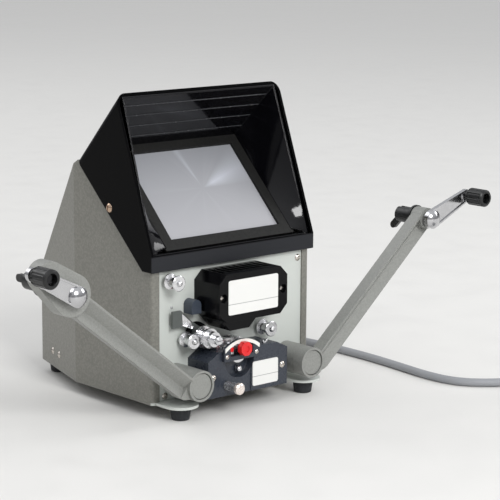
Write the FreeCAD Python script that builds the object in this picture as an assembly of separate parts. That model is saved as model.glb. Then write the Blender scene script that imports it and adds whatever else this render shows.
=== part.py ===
import FreeCAD, Part
import math
import os
from FreeCAD import Vector

# Table-top viewer and editor for 8 mm film. Millimetres, +X right, +Y back, +Z up.
# Sizes below are in the case's own frame: x 0 is the middle of the case, y 0 the face of the
# front panel and z 0 the table. Every solid is moved once, at the end, to the middle of the box.
BOX_MIDDLE_X = 5.0
BOX_MIDDLE_Y = 54.6

# Clearances
RUNNING_GAP = 0.06
LOOSE_GAP = 0.3
SEAT_GAP = 0.05

# Case of bent sheet
SHEET = 1.2
BEND = 2.5
CASE_HALF = 73.0
CASE_REAR_HALF = 50.7
CASE_SIDE_DEPTH = 87.8
CASE_DEPTH = 160.9
CASE_BOTTOM = 11.1
CASE_REAR_TOP = 78.4
CASE_PEAK_Z = 168.2
ROOF_LIP = (82.6, 171.2)
FRONT_TOP = 102.5
FLANGE = 6.6
TAB_RISE = 9.0

# Front panel and base plate
PANEL_THICK = 1.5
BASE_THICK = 1.8
EAR_RADIUS = 12.5
FOOT_X = 57.5
FOOT_Y = -11.8
REAR_FOOT_X = 41.1
REAR_FOOT_Y = 151.9
FOOT_TOP_R = 7.5
FOOT_LOW_R = 6.3

# Viewing hood: outline of its side in y, z
HOOD_HALF = 75.0
HOOD_WALL = 1.9
HOOD_LIP_Y = -2.7
HOOD_LIP_BOTTOM = 102.8
HOOD_LIP_TOP = 114.0
HOOD_RIM = (36.9, 221.4)
HOOD_BACK = (82.8, 172.8)
HOOD_TURN_Y = 8.0
HOOD_CORNER = 8.0
HOOD_RETURN = 2.0
LINER = 1.2
LINER_DROP = 0.6
LINER_SET = 0.8
LINER_CORNER = 3.0

# Screen, seen along its slope
SCREEN_LOW = (8.4, 120.6)
SCREEN_HIGH = (61.5, 174.0)
SCREEN_WIDTH = 100.1
BEZEL_SIDE = 9.0
BEZEL_THICK = 2.0
GLASS_EDGE = 2.5
GLASS_THICK = 2.0
FRESNEL_THICK = 1.5

# Mirror at the rear
MIRROR_LOW = (CASE_DEPTH - 25.3, CASE_BOTTOM + 2.7)
MIRROR_HIGH = (CASE_DEPTH - 8.4, CASE_BOTTOM + 38.9)
MIRROR_WIDTH = 60.0
MIRROR_THICK = 3.0
BRACKET_SHEET = 1.2

# Lamp house
LAMP_X0 = -34.5
LAMP_X1 = 28.2
LAMP_Z0 = 65.7
LAMP_Z1 = 99.6
LAMP_DEPTH = 26.0
LAMP_CHAMFER = 6.5
LAMP_WALL = 1.5
VENTS = 9
VENT_WIDE = 3.2
VENT_PITCH = 5.6
CHUTE_TOP = (-30.0, -0.2)
CHUTE_LOW = (-24.0, -6.6)
CHUTE_END_Z = 59.6
CHUTE_Y0 = -25.0
CHUTE_Y1 = -2.0
LABEL_THICK = 0.5
LAMP_POCKET = 3.0
LAMP_LABEL = (-26.7, 19.0, 70.8, 95.0)
CONDENSER_R = 3.6
CONDENSER_THICK = 3.0

# Gate housing
GATE_X0 = -40.3
GATE_X1 = 32.5
GATE_Z0 = 12.5
GATE_Z1 = 44.2
GATE_DEPTH = 21.0
GATE_WALL = 2.0
GATE_STEP_X = -1.5
GATE_STEP = 0.8
RECESS_RADIUS = 13.0
RECESS_DEEP = 5.5
RECESS_FLOOR = 2.0
GATE_LABEL = (-0.5, 23.4, 15.7, 33.2)
OPTIC_X = -12.0
OPTIC_Z = 37.0
FILM_Y = -7.5
APERTURE = 5.0

# Film gate in front of the housing: plate with two ears and an arched top
PLATE_X0 = -28.0
PLATE_X1 = 4.5
PLATE_Z0 = 37.5
PLATE_EAR_Z = 44.0
ARCH_TOP = 52.0
ARCH_RADIUS = 26.0
PLATE_SILL = 3.0
WINDOW_HALF = 10.5
PLATE_THICK = 2.0
ARCH_STRIP = 2.4
ARC_PROUD = 0.6
PLATE_SCREW_R = 1.7
SHOE_Y0 = -12.5
SHOE_Y1 = -3.0
SHOE_BASE_Z = 50.8
FORMAT_X = -12.0
FORMAT_Z = 45.6
FORMAT_R = 5.2
FORMAT_Y0 = -29.0
FORMAT_Y1 = -24.8
FORMAT_SEAT = 2.2
KNOB_SPINDLE_R = 1.8
BUTTON_X = -23.3
BUTTON_Z = 20.0
BUTTON_HEAD_R = 4.1
BUTTON_STEM_R = 3.2
BUTTON_OUT = 15.0
BUTTON_GROOVES = 4
BALL_X = -10.0
BALL_Z = 29.3
BALL_R = 2.6

# Focus knob beside the lamp house
FOCUS_X = -40.0
FOCUS_Z = 75.8
FOCUS_WIDE = 8.4
FOCUS_TALL = 10.0
FOCUS_DEEP = 9.0

# Rollers of turned metal, on headed studs
ROLLER_PLACES = {"upper": (-CASE_HALF + 14.0, 95.4), "left": (-45.5, 52.8), "right": (26.0, 51.3)}
ROLLER_R = 5.5
ROLLER_CORE_R = 3.5
ROLLER_Y0 = -12.6
ROLLER_Y1 = -2.0
ROLLER_FLANGE = 1.1
STUD_R = 1.6
STUD_HEAD_R = 2.2
STUD_HEAD = 1.9

# Sprocket, its gear and the prism's pinion
SPROCKET_X = -33.8
SPROCKET_Z = 54.0
SPROCKET_PITCH_R = 5.4
SPROCKET_TEETH = 8
SPROCKET_SHAFT_R = 2.5
SPROCKET_TIP_Y = -26.0
GEAR_TEETH = 48
PINION_TEETH = 24
GEAR_Y0 = 4.0
GEAR_WIDE = 3.0
PRISM_SHAFT_R = 1.5
PRISM_SIDE = 6.6
PRISM_DEEP = 7.0

# Framing lever on the sprocket's axis
LEVER_RING_R = 6.0
LEVER_THICK = 1.6
LEVER_Y0 = -4.0
LEVER_ARM = (
    (-30.5, 57.5),
    (-38.0, 57.5),
    (-43.2, 60.5),
    (-49.5, 62.5),
    (-58.0, 62.0),
    (-58.0, 74.0),
    (-50.5, 74.0),
    (-42.0, 66.0),
    (-34.0, 60.5),
)

# Projection lens
BEAM_Z = 22.0
BARREL_R = 9.5
BARREL_BORE = 7.8
BARREL_Y0 = 12.0
BARREL_LONG = 34.0
LENS_THICK = 6.0

# Reel arms, seen along the arm: t along it, n up from the pivot line
ARM_PIVOT_X = 52.0
ARM_PIVOT_Z = 25.4
LEFT_ARM_ANGLE = 38.3
RIGHT_ARM_ANGLE = 41.2
ARM_FRONT = -28.5
ARM_BACK = -18.5
ARM_TOP_N = 0.35
ARM_LOW_N = -15.3
ARM_CREASE_N = -7.6
ARM_CREASE_Y = -22.5
ARM_LOW_Y = -25.5
ARM_RIM = 1.5
BOSS_R = 10.9
BOSS_FRONT = -28.2
BOSS_CAP_R = 9.0
BOSS_CAP_SINK = 0.7
BOSS_CAP = 1.4
ARM_START = 9.0
PIVOT_BARREL_FRONT = -17.6
PIVOT_STUD_R = 4.0
RIGHT_HUB = (148.1, -6.9)
RIGHT_HUB_R = 7.8
LEFT_HUB = (133.1, -5.6)
LEFT_SPINDLE = (148.8, -8.2)
GEAR_CASE_R = 14.2
GEAR_CASE_END = (155.6, -5.3)
GEAR_CASE_END_R = 10.4
GEAR_CASE_WALL = 2.0
GEAR_CASE_BACK = -17.6
COVER_THICK = 1.5
DRIVE_TEETH = 32
SPINDLE_TEETH = 16
DRIVE_GEAR_WIDE = 5.0

# Cranks
CRANK_LONG = 39.0
CRANK_SHAFT_R = 3.0
LEFT_KNOB_AXIS = (-195.1, 122.8)
RIGHT_KNOB_AXIS = (203.1, 131.7)
CRANK_Y0 = -34.8
CRANK_Y1 = -31.3
CRANK_WEB = 2.5
CRANK_HUB_R = 7.0
CRANK_END_R = 4.7
CRANK_RIM = 1.2
DOME_FRONT = -38.0
COLLAR_R = 5.0
GRIP_R = 6.45
GRIP_NECK_R = 4.0
GRIP_NECK = 3.9
GRIP_FRONT = -53.9
GRIP_FLUTES = 12
GRIP_BORE_R = 4.0
GRIP_BORE_DEEP = 5.0
GRIP_PIN_R = 1.75
GRIP_PIN_HEAD_R = 3.2
GRIP_PIN_HEAD = 1.6

# Reel spindles and their latches
SPINDLE_R = 6.1
SPINDLE_SHAFT_R = 2.6
SPINDLE_Y0 = -15.5
SPINDLE_Y1 = 0.5
SPINDLE_FLANGE_R = 8.6
SPINDLE_FLANGE = 1.7
LATCH_WIDE = 5.2
LATCH_THICK = 3.0
LATCH_OUT = 12.0
LATCH_PIN_R = 1.0
LATCH_PIN_INSET = 3.4
RIGHT_LATCH_FOLD = 45.0

# Screws
PANEL_SCREW_R = 2.6
PANEL_SCREWS = (
    (CASE_HALF - 9.8, 96.6),
    (-CASE_HALF + 12.3, 14.2),
    (CASE_HALF - 12.3, 14.2),
)
HOOD_SCREW = (44.3, 141.9)
HOOD_SCREW_R = 3.2
HOUSING_SCREW_R = 2.5
HOUSING_SCREWS = ((28.0, 26.9), (-35.6, 26.9))
LAMP_SCREWS = ((-30.7, 83.2), (24.3, 83.2))
SIDE_SCREW_Y = (122.6, 136.0)
SIDE_SCREW_Z = 21.0
SCREW_SHANK = 0.55
SCREW_LONG = 5.0

# Parts inside the case
LAMP_BULB_R = 6.0
SOCKET_R = 7.0
SOCKET_LONG = 16.0
MIRROR_BLOCK = 12.0
CORE_SIZE = (40.0, 38.0, 46.0)
CORE_AT = (CASE_HALF - 31.0, CASE_SIDE_DEPTH - 17.8)
COIL_OVERHANG = 9.0
TERMINALS = 4
TERMINAL_PITCH = 7.0
TERMINAL_SHIFT = -2.0
TERMINAL_Y = CASE_DEPTH - 54.9
SWITCH_X = -30.0
SWITCH_Z = 62.0
SWITCH_WIDE = 21.0
SWITCH_TALL = 12.0
SWITCH_DEEP = 11.0
SWITCH_RIM = 1.6
ROCKER_SLOPE = 12.0

# Power cord
CORD_R = 3.0
CORD_EXIT = (30.0, 20.0)
GROMMET_NECK_R = 4.6
ARC_SHARE = 0.45
COIL_MEAN_R = 33.0
COIL_TURNS = 2.5
COIL_PITCH = 7.0
COIL_LAYER = 6.6
PLUG_NECK = 12.0
PLUG_LONG = 30.0
PLUG_HALF_WIDE = 13.0
BLADE_APART = 12.7
BLADE_THICK = 1.5
BLADE_LONG = 17.0
CORD_ROUTE = (
    (30.0, 181.0, 20.0),
    (30.0, 195.0, 20.0),
    (35.5, 213.5, 16.5),
    (50.0, 227.0, 9.0),
    (73.0, 232.0, 3.0),
    (99.0, 224.0, 3.0),
    (122.0, 201.0, 3.0),
    (139.5, 168.0, 3.0),
    (151.5, 130.0, 3.0),
    (158.0, 92.0, 3.0),
    (160.0, 54.0, 3.0),
    (159.5, 18.0, 3.0),
    (156.2, -16.0, 3.0),
    (152.3, -48.0, 3.0),
    (155.0, -74.0, 3.0),
    (172.0, -92.5, 3.0),
    (197.0, -105.5, 3.0),
    (226.0, -105.5, 3.0),
)

# Values worked out from those above
PANEL_Y = SHEET
PANEL_BACK = PANEL_Y + PANEL_THICK
FOOTPRINT = (
    (-CASE_HALF, 0.0),
    (CASE_HALF, 0.0),
    (CASE_HALF, CASE_SIDE_DEPTH),
    (CASE_REAR_HALF, CASE_DEPTH),
    (-CASE_REAR_HALF, CASE_DEPTH),
    (-CASE_HALF, CASE_SIDE_DEPTH),
)
HOOD_LINE = math.atan2(HOOD_BACK[1] - HOOD_LIP_BOTTOM, HOOD_BACK[0] - HOOD_TURN_Y)
SCREEN_SLOPE = math.degrees(math.atan2(SCREEN_HIGH[1] - SCREEN_LOW[1], SCREEN_HIGH[0] - SCREEN_LOW[0]))
SCREEN_LONG = math.dist(SCREEN_LOW, SCREEN_HIGH)
ARM_ANGLES = {-1: LEFT_ARM_ANGLE, 1: RIGHT_ARM_ANGLE}


def turned(point, degrees):
    """A point in the plane, turned about the origin."""
    a = math.radians(degrees)
    return (
        point[0] * math.cos(a) - point[1] * math.sin(a), point[0] * math.sin(a) + point[1] * math.cos(a)
    )


def arm_point(side, along, up):
    """A place on the left (-1) or right (1) reel arm, as x and z."""
    across, rise = turned((along, up), ARM_ANGLES[side])
    return (side * (ARM_PIVOT_X + across), ARM_PIVOT_Z + rise)


def inset(points, thick):
    """A convex outline, run anticlockwise, drawn in by one thickness."""
    lines = []
    count = len(points)
    for i in range(count):
        (ax, ay), (bx, by) = points[i], points[(i + 1) % count]
        long = math.hypot(bx - ax, by - ay)
        nx, ny = (ay - by) / long, (bx - ax) / long
        lines.append((nx, ny, nx * ax + ny * ay + thick))
    corners = []
    for i in range(count):
        a, b = lines[i - 1], lines[i]
        det = a[0] * b[1] - a[1] * b[0]
        corners.append(((a[2] * b[1] - a[1] * b[2]) / det, (a[0] * b[2] - a[2] * b[0]) / det))
    return corners


def outline_edges(points, radii, place):
    """Straight edges and corner arcs of a closed outline."""
    starts, ends, arcs = [], [], []
    count = len(points)
    for i in range(count):
        here = Vector(*points[i], 0)
        back = Vector(*points[i - 1], 0) - here
        ahead = Vector(*points[(i + 1) % count], 0) - here
        half = back.getAngle(ahead) / 2
        back.normalize()
        ahead.normalize()
        if radii[i] <= 0:
            starts.append(here)
            ends.append(here)
            arcs.append(None)
            continue
        reach = radii[i] / math.tan(half)
        middle = here + (back + ahead).normalize() * (radii[i] / math.sin(half) - radii[i])
        starts.append(here + back * reach)
        ends.append(here + ahead * reach)
        arcs.append(middle)
    edges = []
    for i in range(count):
        if arcs[i] is not None:
            edges.append(Part.Arc(place(starts[i]), place(arcs[i]), place(ends[i])).toShape())
        after = starts[(i + 1) % count]
        if (after - ends[i]).Length > 1e-6:
            edges.append(Part.LineSegment(place(ends[i]), place(after)).toShape())
    return edges


def plate(along, points, low, high, radii=0.0):
    """An outline pushed straight along x, y or z, from low to high."""
    if not isinstance(radii, (tuple, list)):
        radii = [radii] * len(points)
    places = {
        "x": lambda p: Vector(low, p.x, p.y),
        "y": lambda p: Vector(p.x, low, p.y),
        "z": lambda p: Vector(p.x, p.y, low),
    }
    pushes = {"x": Vector(high - low, 0, 0), "y": Vector(0, high - low, 0), "z": Vector(0, 0, high - low)}
    wire = Part.Wire(outline_edges(points, radii, places[along]))
    return Part.Face(wire).extrude(pushes[along])


def block(x0, x1, y0, y1, z0, z1):
    """A plain box between two corners."""
    return Part.makeBox(x1 - x0, y1 - y0, z1 - z0, Vector(x0, y0, z0))


def rod(x, z, radius, y0, y1):
    """A round bar along y."""
    return Part.makeCylinder(radius, y1 - y0, Vector(x, y0, z), Vector(0, 1, 0))


def dome(x, z, radius, y_base, y_top):
    """A shallow dome facing the front, from its rim at y_base to its top at y_top."""
    rise = y_base - y_top
    ball = (radius * radius + rise * rise) / (2 * rise)
    cap = Part.makeSphere(ball, Vector(x, y_top + ball, z))
    return cap.common(rod(x, z, radius, y_top - 1, y_base))


def turned_bar(x, z, steps):
    """A bar along y turned to several radii; steps holds (y, radius) pairs, front end first."""
    outline = [Vector(0, steps[0][0], 0)]
    for y, radius in steps:
        outline.append(Vector(radius, y, 0))
    outline.append(Vector(0, steps[-1][0], 0))
    outline.append(outline[0])
    bar = Part.Face(Part.makePolygon(outline)).revolve(Vector(0, 0, 0), Vector(0, 1, 0), 360)
    bar.translate(Vector(x, 0, z))
    return bar


def link(x, z, degrees, length, r0, r1, y0, y1):
    """A flat link whose ends are two arcs joined by their tangents."""
    swing = math.acos((r0 - r1) / length)
    edges = []
    corners = []
    for r, at in ((r0, 0.0), (r1, length)):
        corners.append((at + r * math.cos(swing), r * math.sin(swing)))
    far = ((-r0, 0.0), (length + r1, 0.0))

    def place(p):
        a, b = turned(p, degrees)
        return Vector(x + a, y0, z + b)

    top = [place(c) for c in corners]
    low = [place((c[0], -c[1])) for c in corners]
    edges.append(Part.LineSegment(top[0], top[1]).toShape())
    edges.append(Part.Arc(top[1], place(far[1]), low[1]).toShape())
    edges.append(Part.LineSegment(low[1], low[0]).toShape())
    edges.append(Part.Arc(low[0], place(far[0]), top[0]).toShape())
    return Part.Face(Part.Wire(edges)).extrude(Vector(0, y1 - y0, 0))


def gear(x, z, teeth, pitch_r, bore_r, y0, y1, tooth_at):
    """A spur gear along y with involute flanks; tooth_at is the angle of one tooth in degrees."""
    module = 2 * pitch_r / teeth
    base_r = pitch_r * math.cos(math.radians(20))
    slack = 0.8

    def half_tooth(r):
        def involute(radius):
            angle = math.acos(min(1.0, base_r / radius))
            return math.tan(angle) - angle

        return slack * math.pi / (2 * teeth) + involute(pitch_r) - involute(r)

    radii = [pitch_r - 1.2 * module, base_r + 0.1 * module, pitch_r, pitch_r + 0.9 * module]
    radii = sorted(radii)
    points = []
    for i in range(teeth):
        middle = math.radians(tooth_at) + 2 * math.pi * i / teeth
        for r in radii:
            points.append((r, middle - half_tooth(r)))
        for r in reversed(radii):
            points.append((r, middle + half_tooth(r)))
    corners = [Vector(x + r * math.cos(a), y0, z + r * math.sin(a)) for r, a in points]
    corners.append(corners[0])
    wheel = Part.Face(Part.makePolygon(corners)).extrude(Vector(0, y1 - y0, 0))
    return wheel.cut(rod(x, z, bore_r, y0 - 1, y1 + 1))


def screw(x, y, z, radius, inward):
    """A round-headed screw with a slot; inward is the way it is driven."""
    rise = radius * 0.5
    ball = (radius * radius + rise * rise) / (2 * rise)
    head = Part.makeSphere(ball, Vector(0, 0, rise - ball))
    head = head.common(Part.makeCylinder(radius, rise + 1))
    slot = Part.makeBox(2 * radius, radius * 0.3, rise, Vector(-radius, -radius * 0.15, rise * 0.55))
    shank = Part.makeCylinder(radius * SCREW_SHANK, SCREW_LONG, Vector(0, 0, -SCREW_LONG))
    body = head.cut(slot).fuse(shank)
    turn = FreeCAD.Rotation(Vector(0, 0, -1), inward)
    body.Placement = FreeCAD.Placement(Vector(x, y, z), turn)
    return body


def screw_hole(x, y, z, radius, inward):
    """The hole that a screw's shank passes through."""
    shank_r = radius * SCREW_SHANK + SEAT_GAP
    start = Vector(x, y, z) - inward * 1.0
    return Part.makeCylinder(shank_r, SCREW_LONG + 1.0 + LOOSE_GAP, start, inward)


BACK = Vector(0, 1, 0)


def case_profile():
    """The case's side in y and z, with a tab that the hood is screwed to."""
    slope = math.tan(HOOD_LINE)
    rise = (-TAB_RISE * math.sin(HOOD_LINE), TAB_RISE * math.cos(HOOD_LINE))

    def on_line(y):
        return (y, HOOD_LIP_BOTTOM + (y - HOOD_TURN_Y) * slope - LOOSE_GAP)

    tab_low = on_line(HOOD_TURN_Y + 6.0)
    tab_high = on_line(HOOD_BACK[0] - 8.0)
    return (
        (0.0, CASE_BOTTOM),
        (CASE_DEPTH, CASE_BOTTOM),
        (CASE_DEPTH, CASE_REAR_TOP),
        (CASE_SIDE_DEPTH, CASE_PEAK_Z),
        ROOF_LIP,
        tab_high,
        (tab_high[0] + rise[0], tab_high[1] + rise[1]),
        (tab_low[0] + rise[0], tab_low[1] + rise[1]),
        tab_low,
        (HOOD_TURN_Y, FRONT_TOP),
        (0.0, FRONT_TOP),
    )


def case_shell():
    bends = [BEND] * len(FOOTPRINT)
    outer = plate("z", FOOTPRINT, CASE_BOTTOM, HOOD_RIM[1], bends)
    outer = outer.common(plate("x", case_profile(), -CASE_HALF, CASE_HALF))
    hollow_plan = inset(FOOTPRINT, SHEET)
    inner_bend = [BEND - SHEET] * len(hollow_plan)
    hollow = plate("z", hollow_plan, 0.0, HOOD_RIM[1], inner_bend)
    roof_run = (ROOF_LIP[1] - CASE_PEAK_Z) / (CASE_SIDE_DEPTH - ROOF_LIP[0])
    roof_far = (-CASE_DEPTH, CASE_PEAK_Z + roof_run * (CASE_SIDE_DEPTH + CASE_DEPTH))
    section = (
        (-CASE_DEPTH, -CASE_BOTTOM),
        (CASE_DEPTH, -CASE_BOTTOM),
        (CASE_DEPTH, CASE_REAR_TOP),
        (CASE_SIDE_DEPTH, CASE_PEAK_Z),
        roof_far,
    )
    hollow = hollow.common(plate("x", inset(section, SHEET), -CASE_HALF, CASE_HALF))
    window = block(FLANGE - CASE_HALF, CASE_HALF - FLANGE, -1.0, SHEET + 1.0, 0.0, FRONT_TOP + 1.0)
    shell = outer.cut(hollow).cut(window)
    for side in (-1, 1):
        start = side * (CASE_HALF + 1.0)
        inward = Vector(-side, 0, 0)
        shell = shell.cut(screw_hole(start, HOOD_SCREW[0], HOOD_SCREW[1], HOOD_SCREW_R, inward))
        for place, way in side_screw_places(side):
            shell = shell.cut(screw_hole(place.x, place.y, place.z, PANEL_SCREW_R, way))
    shell = shell.cut(
        rod(CORD_EXIT[0], CORD_EXIT[1], GROMMET_NECK_R + SEAT_GAP, CASE_DEPTH - 3, CASE_DEPTH + 3)
    )
    opening = SWITCH_WIDE / 2 - SWITCH_RIM + SEAT_GAP
    opening_z = SWITCH_TALL / 2 - SWITCH_RIM + SEAT_GAP
    shell = shell.cut(
        block(
            SWITCH_X - opening,
            SWITCH_X + opening,
            CASE_DEPTH - 3,
            CASE_DEPTH + 3,
            SWITCH_Z - opening_z,
            SWITCH_Z + opening_z,
        )
    )
    return shell


def side_screw_places(side):
    """Where the screws go through the tapered rear sides into the base plate's tabs."""
    run = CASE_DEPTH - CASE_SIDE_DEPTH
    draw = (CASE_HALF - CASE_REAR_HALF) / run
    way = Vector(-side, -draw, 0)
    way.normalize()
    places = []
    for y in SIDE_SCREW_Y:
        x = side * (CASE_HALF - (y - CASE_SIDE_DEPTH) * draw)
        places.append((Vector(x, y, SIDE_SCREW_Z), way))
    return places


def base_plate():
    floor = CASE_BOTTOM - BASE_THICK
    body = plate("z", FOOTPRINT, floor, CASE_BOTTOM, BEND)
    for side in (-1, 1):
        middle = side * FOOT_X
        ear = block(middle - EAR_RADIUS, middle + EAR_RADIUS, FOOT_Y, 1.0, floor, CASE_BOTTOM)
        round_end = Part.makeCylinder(EAR_RADIUS, BASE_THICK, Vector(side * FOOT_X, FOOT_Y, floor))
        body = body.fuse(ear).fuse(round_end)
    inner = plate("z", inset(FOOTPRINT, SHEET + SEAT_GAP), CASE_BOTTOM, SIDE_SCREW_Z + 6.0)
    inner = inner.cut(plate("z", inset(FOOTPRINT, SHEET + SEAT_GAP + BASE_THICK), 0.0, CASE_PEAK_Z))
    reach = (SIDE_SCREW_Y[0] - 8.0, SIDE_SCREW_Y[1] + 8.0)
    tabs = inner.common(block(-CASE_HALF, CASE_HALF, reach[0], reach[1], 0.0, CASE_PEAK_Z))
    body = body.fuse(tabs)
    for side in (-1, 1):
        for place, way in side_screw_places(side):
            body = body.cut(screw_hole(place.x, place.y, place.z, PANEL_SCREW_R, way))
    return body.removeSplitter()


def rubber_feet():
    feet = []
    bottom = CASE_BOTTOM - BASE_THICK
    for x, y in ((FOOT_X, FOOT_Y), (REAR_FOOT_X, REAR_FOOT_Y)):
        for side in (-1, 1):
            foot = Part.makeCone(FOOT_LOW_R, FOOT_TOP_R, bottom, Vector(side * x, y, 0))
            feet.append(foot.makeFillet(1.0, [foot.Edges[i] for i in low_rim(foot)]))
    return Part.makeCompound(feet)


def low_rim(shape):
    """Indices of the edges that lie flat at the bottom of a shape."""
    low = shape.BoundBox.ZMin
    return [i for i, e in enumerate(shape.Edges) if e.BoundBox.ZMax < low + 0.01]


def front_panel():
    edge = CASE_HALF - BEND - SEAT_GAP
    panel = block(-edge, edge, PANEL_Y, PANEL_BACK, CASE_BOTTOM, FRONT_TOP)
    for x, z in PANEL_SCREWS:
        panel = panel.cut(screw_hole(x, PANEL_Y, z, PANEL_SCREW_R, BACK))
    for x, z in list(HOUSING_SCREWS) + list(LAMP_SCREWS):
        panel = panel.cut(rod(x, z, HOUSING_SCREW_R * SCREW_SHANK + SEAT_GAP, 0.0, PANEL_BACK + 1))
    through = 4.0
    panel = panel.cut(rod(SPROCKET_X, SPROCKET_Z, SPROCKET_SHAFT_R + RUNNING_GAP, 0, through))
    panel = panel.cut(rod(OPTIC_X, OPTIC_Z, PRISM_SHAFT_R + RUNNING_GAP, 0, through))
    panel = panel.cut(rod(OPTIC_X, BEAM_Z, BARREL_BORE, 0, through))
    panel = panel.cut(rod(FOCUS_X, FOCUS_Z, KNOB_SPINDLE_R + RUNNING_GAP, 0, through))
    for x, z in ROLLER_PLACES.values():
        panel = panel.cut(rod(x, z, STUD_R + SEAT_GAP, 0, through))
    for side in (-1, 1):
        panel = panel.cut(rod(side * ARM_PIVOT_X, ARM_PIVOT_Z, PIVOT_STUD_R + SEAT_GAP, 0, through))
    return panel


def hood_void():
    """The space inside the hood, open at its mouth and along its lower edge."""
    run = (HOOD_RIM[0] - HOOD_BACK[0], HOOD_RIM[1] - HOOD_BACK[1])
    long = math.hypot(*run)
    way = (run[0] / long, run[1] / long)
    out = (way[1], -way[0])
    under_rim = (HOOD_RIM[0] - out[0] * HOOD_WALL, HOOD_RIM[1] - out[1] * HOOD_WALL)
    under_back = (HOOD_BACK[0] - out[0] * HOOD_WALL, HOOD_BACK[1] - out[1] * HOOD_WALL)
    beyond = 40.0
    lip_y = HOOD_LIP_Y + HOOD_WALL
    lip_z = HOOD_LIP_BOTTOM + HOOD_RETURN
    section = (
        (lip_y, lip_z),
        (HOOD_TURN_Y, lip_z),
        (HOOD_TURN_Y, HOOD_LIP_BOTTOM - beyond),
        (under_back[0] - way[0] * beyond, HOOD_LIP_BOTTOM - beyond),
        (under_back[0] - way[0] * beyond, under_back[1] - way[1] * beyond),
        (under_rim[0] + way[0] * beyond, under_rim[1] + way[1] * beyond),
        (lip_y - beyond, under_rim[1] + way[1] * beyond),
        (lip_y - beyond, HOOD_LIP_TOP),
        (lip_y, HOOD_LIP_TOP),
    )
    half = HOOD_HALF - HOOD_WALL
    void = plate("x", section, -half, half)
    roof = [e for e in void.Edges if on_roof_edge(e, half, under_rim, out)]
    return void.makeFillet(HOOD_CORNER - HOOD_WALL, roof)


def on_roof_edge(edge, half, point, out):
    """Is an edge one of the two where the roof meets a side wall?"""
    if edge.BoundBox.XLength > 0.01:
        return False
    for vertex in edge.Vertexes:
        p = vertex.Point
        off = (p.y - point[0]) * out[0] + (p.z - point[1]) * out[1]
        if abs(abs(p.x) - half) > 0.01 or abs(off) > 0.01:
            return False
    return True


def hood():
    section = (
        (HOOD_LIP_Y, HOOD_LIP_BOTTOM),
        (HOOD_TURN_Y, HOOD_LIP_BOTTOM),
        HOOD_BACK,
        HOOD_RIM,
        (HOOD_LIP_Y, HOOD_LIP_TOP),
    )
    body = plate("x", section, -HOOD_HALF, HOOD_HALF)
    run = (HOOD_RIM[0] - HOOD_BACK[0], HOOD_RIM[1] - HOOD_BACK[1])
    long = math.hypot(*run)
    out = (run[1] / long, -run[0] / long)
    roof = [e for e in body.Edges if on_roof_edge(e, HOOD_HALF, HOOD_RIM, out)]
    body = body.makeFillet(HOOD_CORNER, roof).cut(hood_void())
    for side in (-1, 1):
        start = side * HOOD_HALF
        hole = screw_hole(start, HOOD_SCREW[0], HOOD_SCREW[1], HOOD_SCREW_R, Vector(-side, 0, 0))
        body = body.cut(hole)
    return body


def on_screen(shape):
    """Lay a shape drawn flat in x and y onto the screen's slope; z points to the viewer."""
    shape.rotate(Vector(0, 0, 0), Vector(1, 0, 0), SCREEN_SLOPE)
    shape.translate(Vector(0, SCREEN_LOW[0], SCREEN_LOW[1]))
    return shape


def screen_point(x, s, lift=0.0):
    """A place on the screen's slope: s up along it, lift off its face."""
    a = math.radians(SCREEN_SLOPE)
    return Vector(
        x, SCREEN_LOW[0] + s * math.cos(a) - lift * math.sin(a), SCREEN_LOW[1] + s * math.sin(a) + lift * math.cos(a)
    )


def bezel_box():
    """Half width, lower end and upper end of the bezel along the screen's slope."""
    return (SCREEN_WIDTH / 2 + BEZEL_SIDE, -BEZEL_SIDE + 0.5, SCREEN_LONG + BEZEL_SIDE - 0.5)


def screen_bezel():
    half, low, high = bezel_box()
    frame = block(-half, half, low, high, 0, BEZEL_THICK)
    window = block(-SCREEN_WIDTH / 2, SCREEN_WIDTH / 2, 0, SCREEN_LONG, -1, BEZEL_THICK + 1)
    return on_screen(frame.cut(window))


def screen_glass():
    reach = SCREEN_WIDTH / 2 + GLASS_EDGE
    return on_screen(block(-reach, reach, -GLASS_EDGE, SCREEN_LONG + GLASS_EDGE, -GLASS_THICK, 0))


def fresnel_lens():
    reach = SCREEN_WIDTH / 2 + GLASS_EDGE
    back = -GLASS_THICK - FRESNEL_THICK
    return on_screen(block(-reach, reach, -GLASS_EDGE, SCREEN_LONG + GLASS_EDGE, back, -GLASS_THICK))


def liner_corners():
    """The liner's four corners at the mouth and at the bezel, in the same order."""
    run = (HOOD_RIM[0] - HOOD_BACK[0], HOOD_RIM[1] - HOOD_BACK[1])
    long = math.hypot(*run)
    way = (run[0] / long, run[1] / long)
    drop = HOOD_WALL + LINER_DROP
    top = (
        HOOD_RIM[0] - way[1] * drop - way[0] * LINER_SET,
        HOOD_RIM[1] + way[0] * drop - way[1] * LINER_SET,
    )
    low = (HOOD_LIP_Y + HOOD_WALL + LOOSE_GAP, HOOD_LIP_TOP - 1.0)
    half = HOOD_HALF - HOOD_WALL - LOOSE_GAP
    high = half - LINER_CORNER
    mouth = [Vector(-half, *low), Vector(half, *low), Vector(high, *top), Vector(-high, *top)]
    side, start, end = bezel_box()
    lift = BEZEL_THICK
    inner = [
        screen_point(-side, start, lift),
        screen_point(side, start, lift),
        screen_point(side, end, lift),
        screen_point(-side, end, lift),
    ]
    return mouth, inner


def frustum(mouth, inner, reach=0.0):
    """A solid between two four-cornered ends; reach lets it run past both."""
    far = [a - (b - a) * reach for a, b in zip(mouth, inner)]
    near = [b + (b - a) * reach for a, b in zip(mouth, inner)]
    wires = [Part.makePolygon(ring + [ring[0]]) for ring in (far, near)]
    return Part.makeLoft(wires, True, True)


def drawn_in(ring, thick):
    """Four corners moved towards the middle of their sides by the sheet's thickness."""
    moved = []
    for i in range(4):
        here = ring[i]
        one = (ring[(i + 1) % 4] - here).normalize()
        two = (ring[i - 1] - here).normalize()
        moved.append(here + one * thick + two * thick)
    return moved


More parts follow.
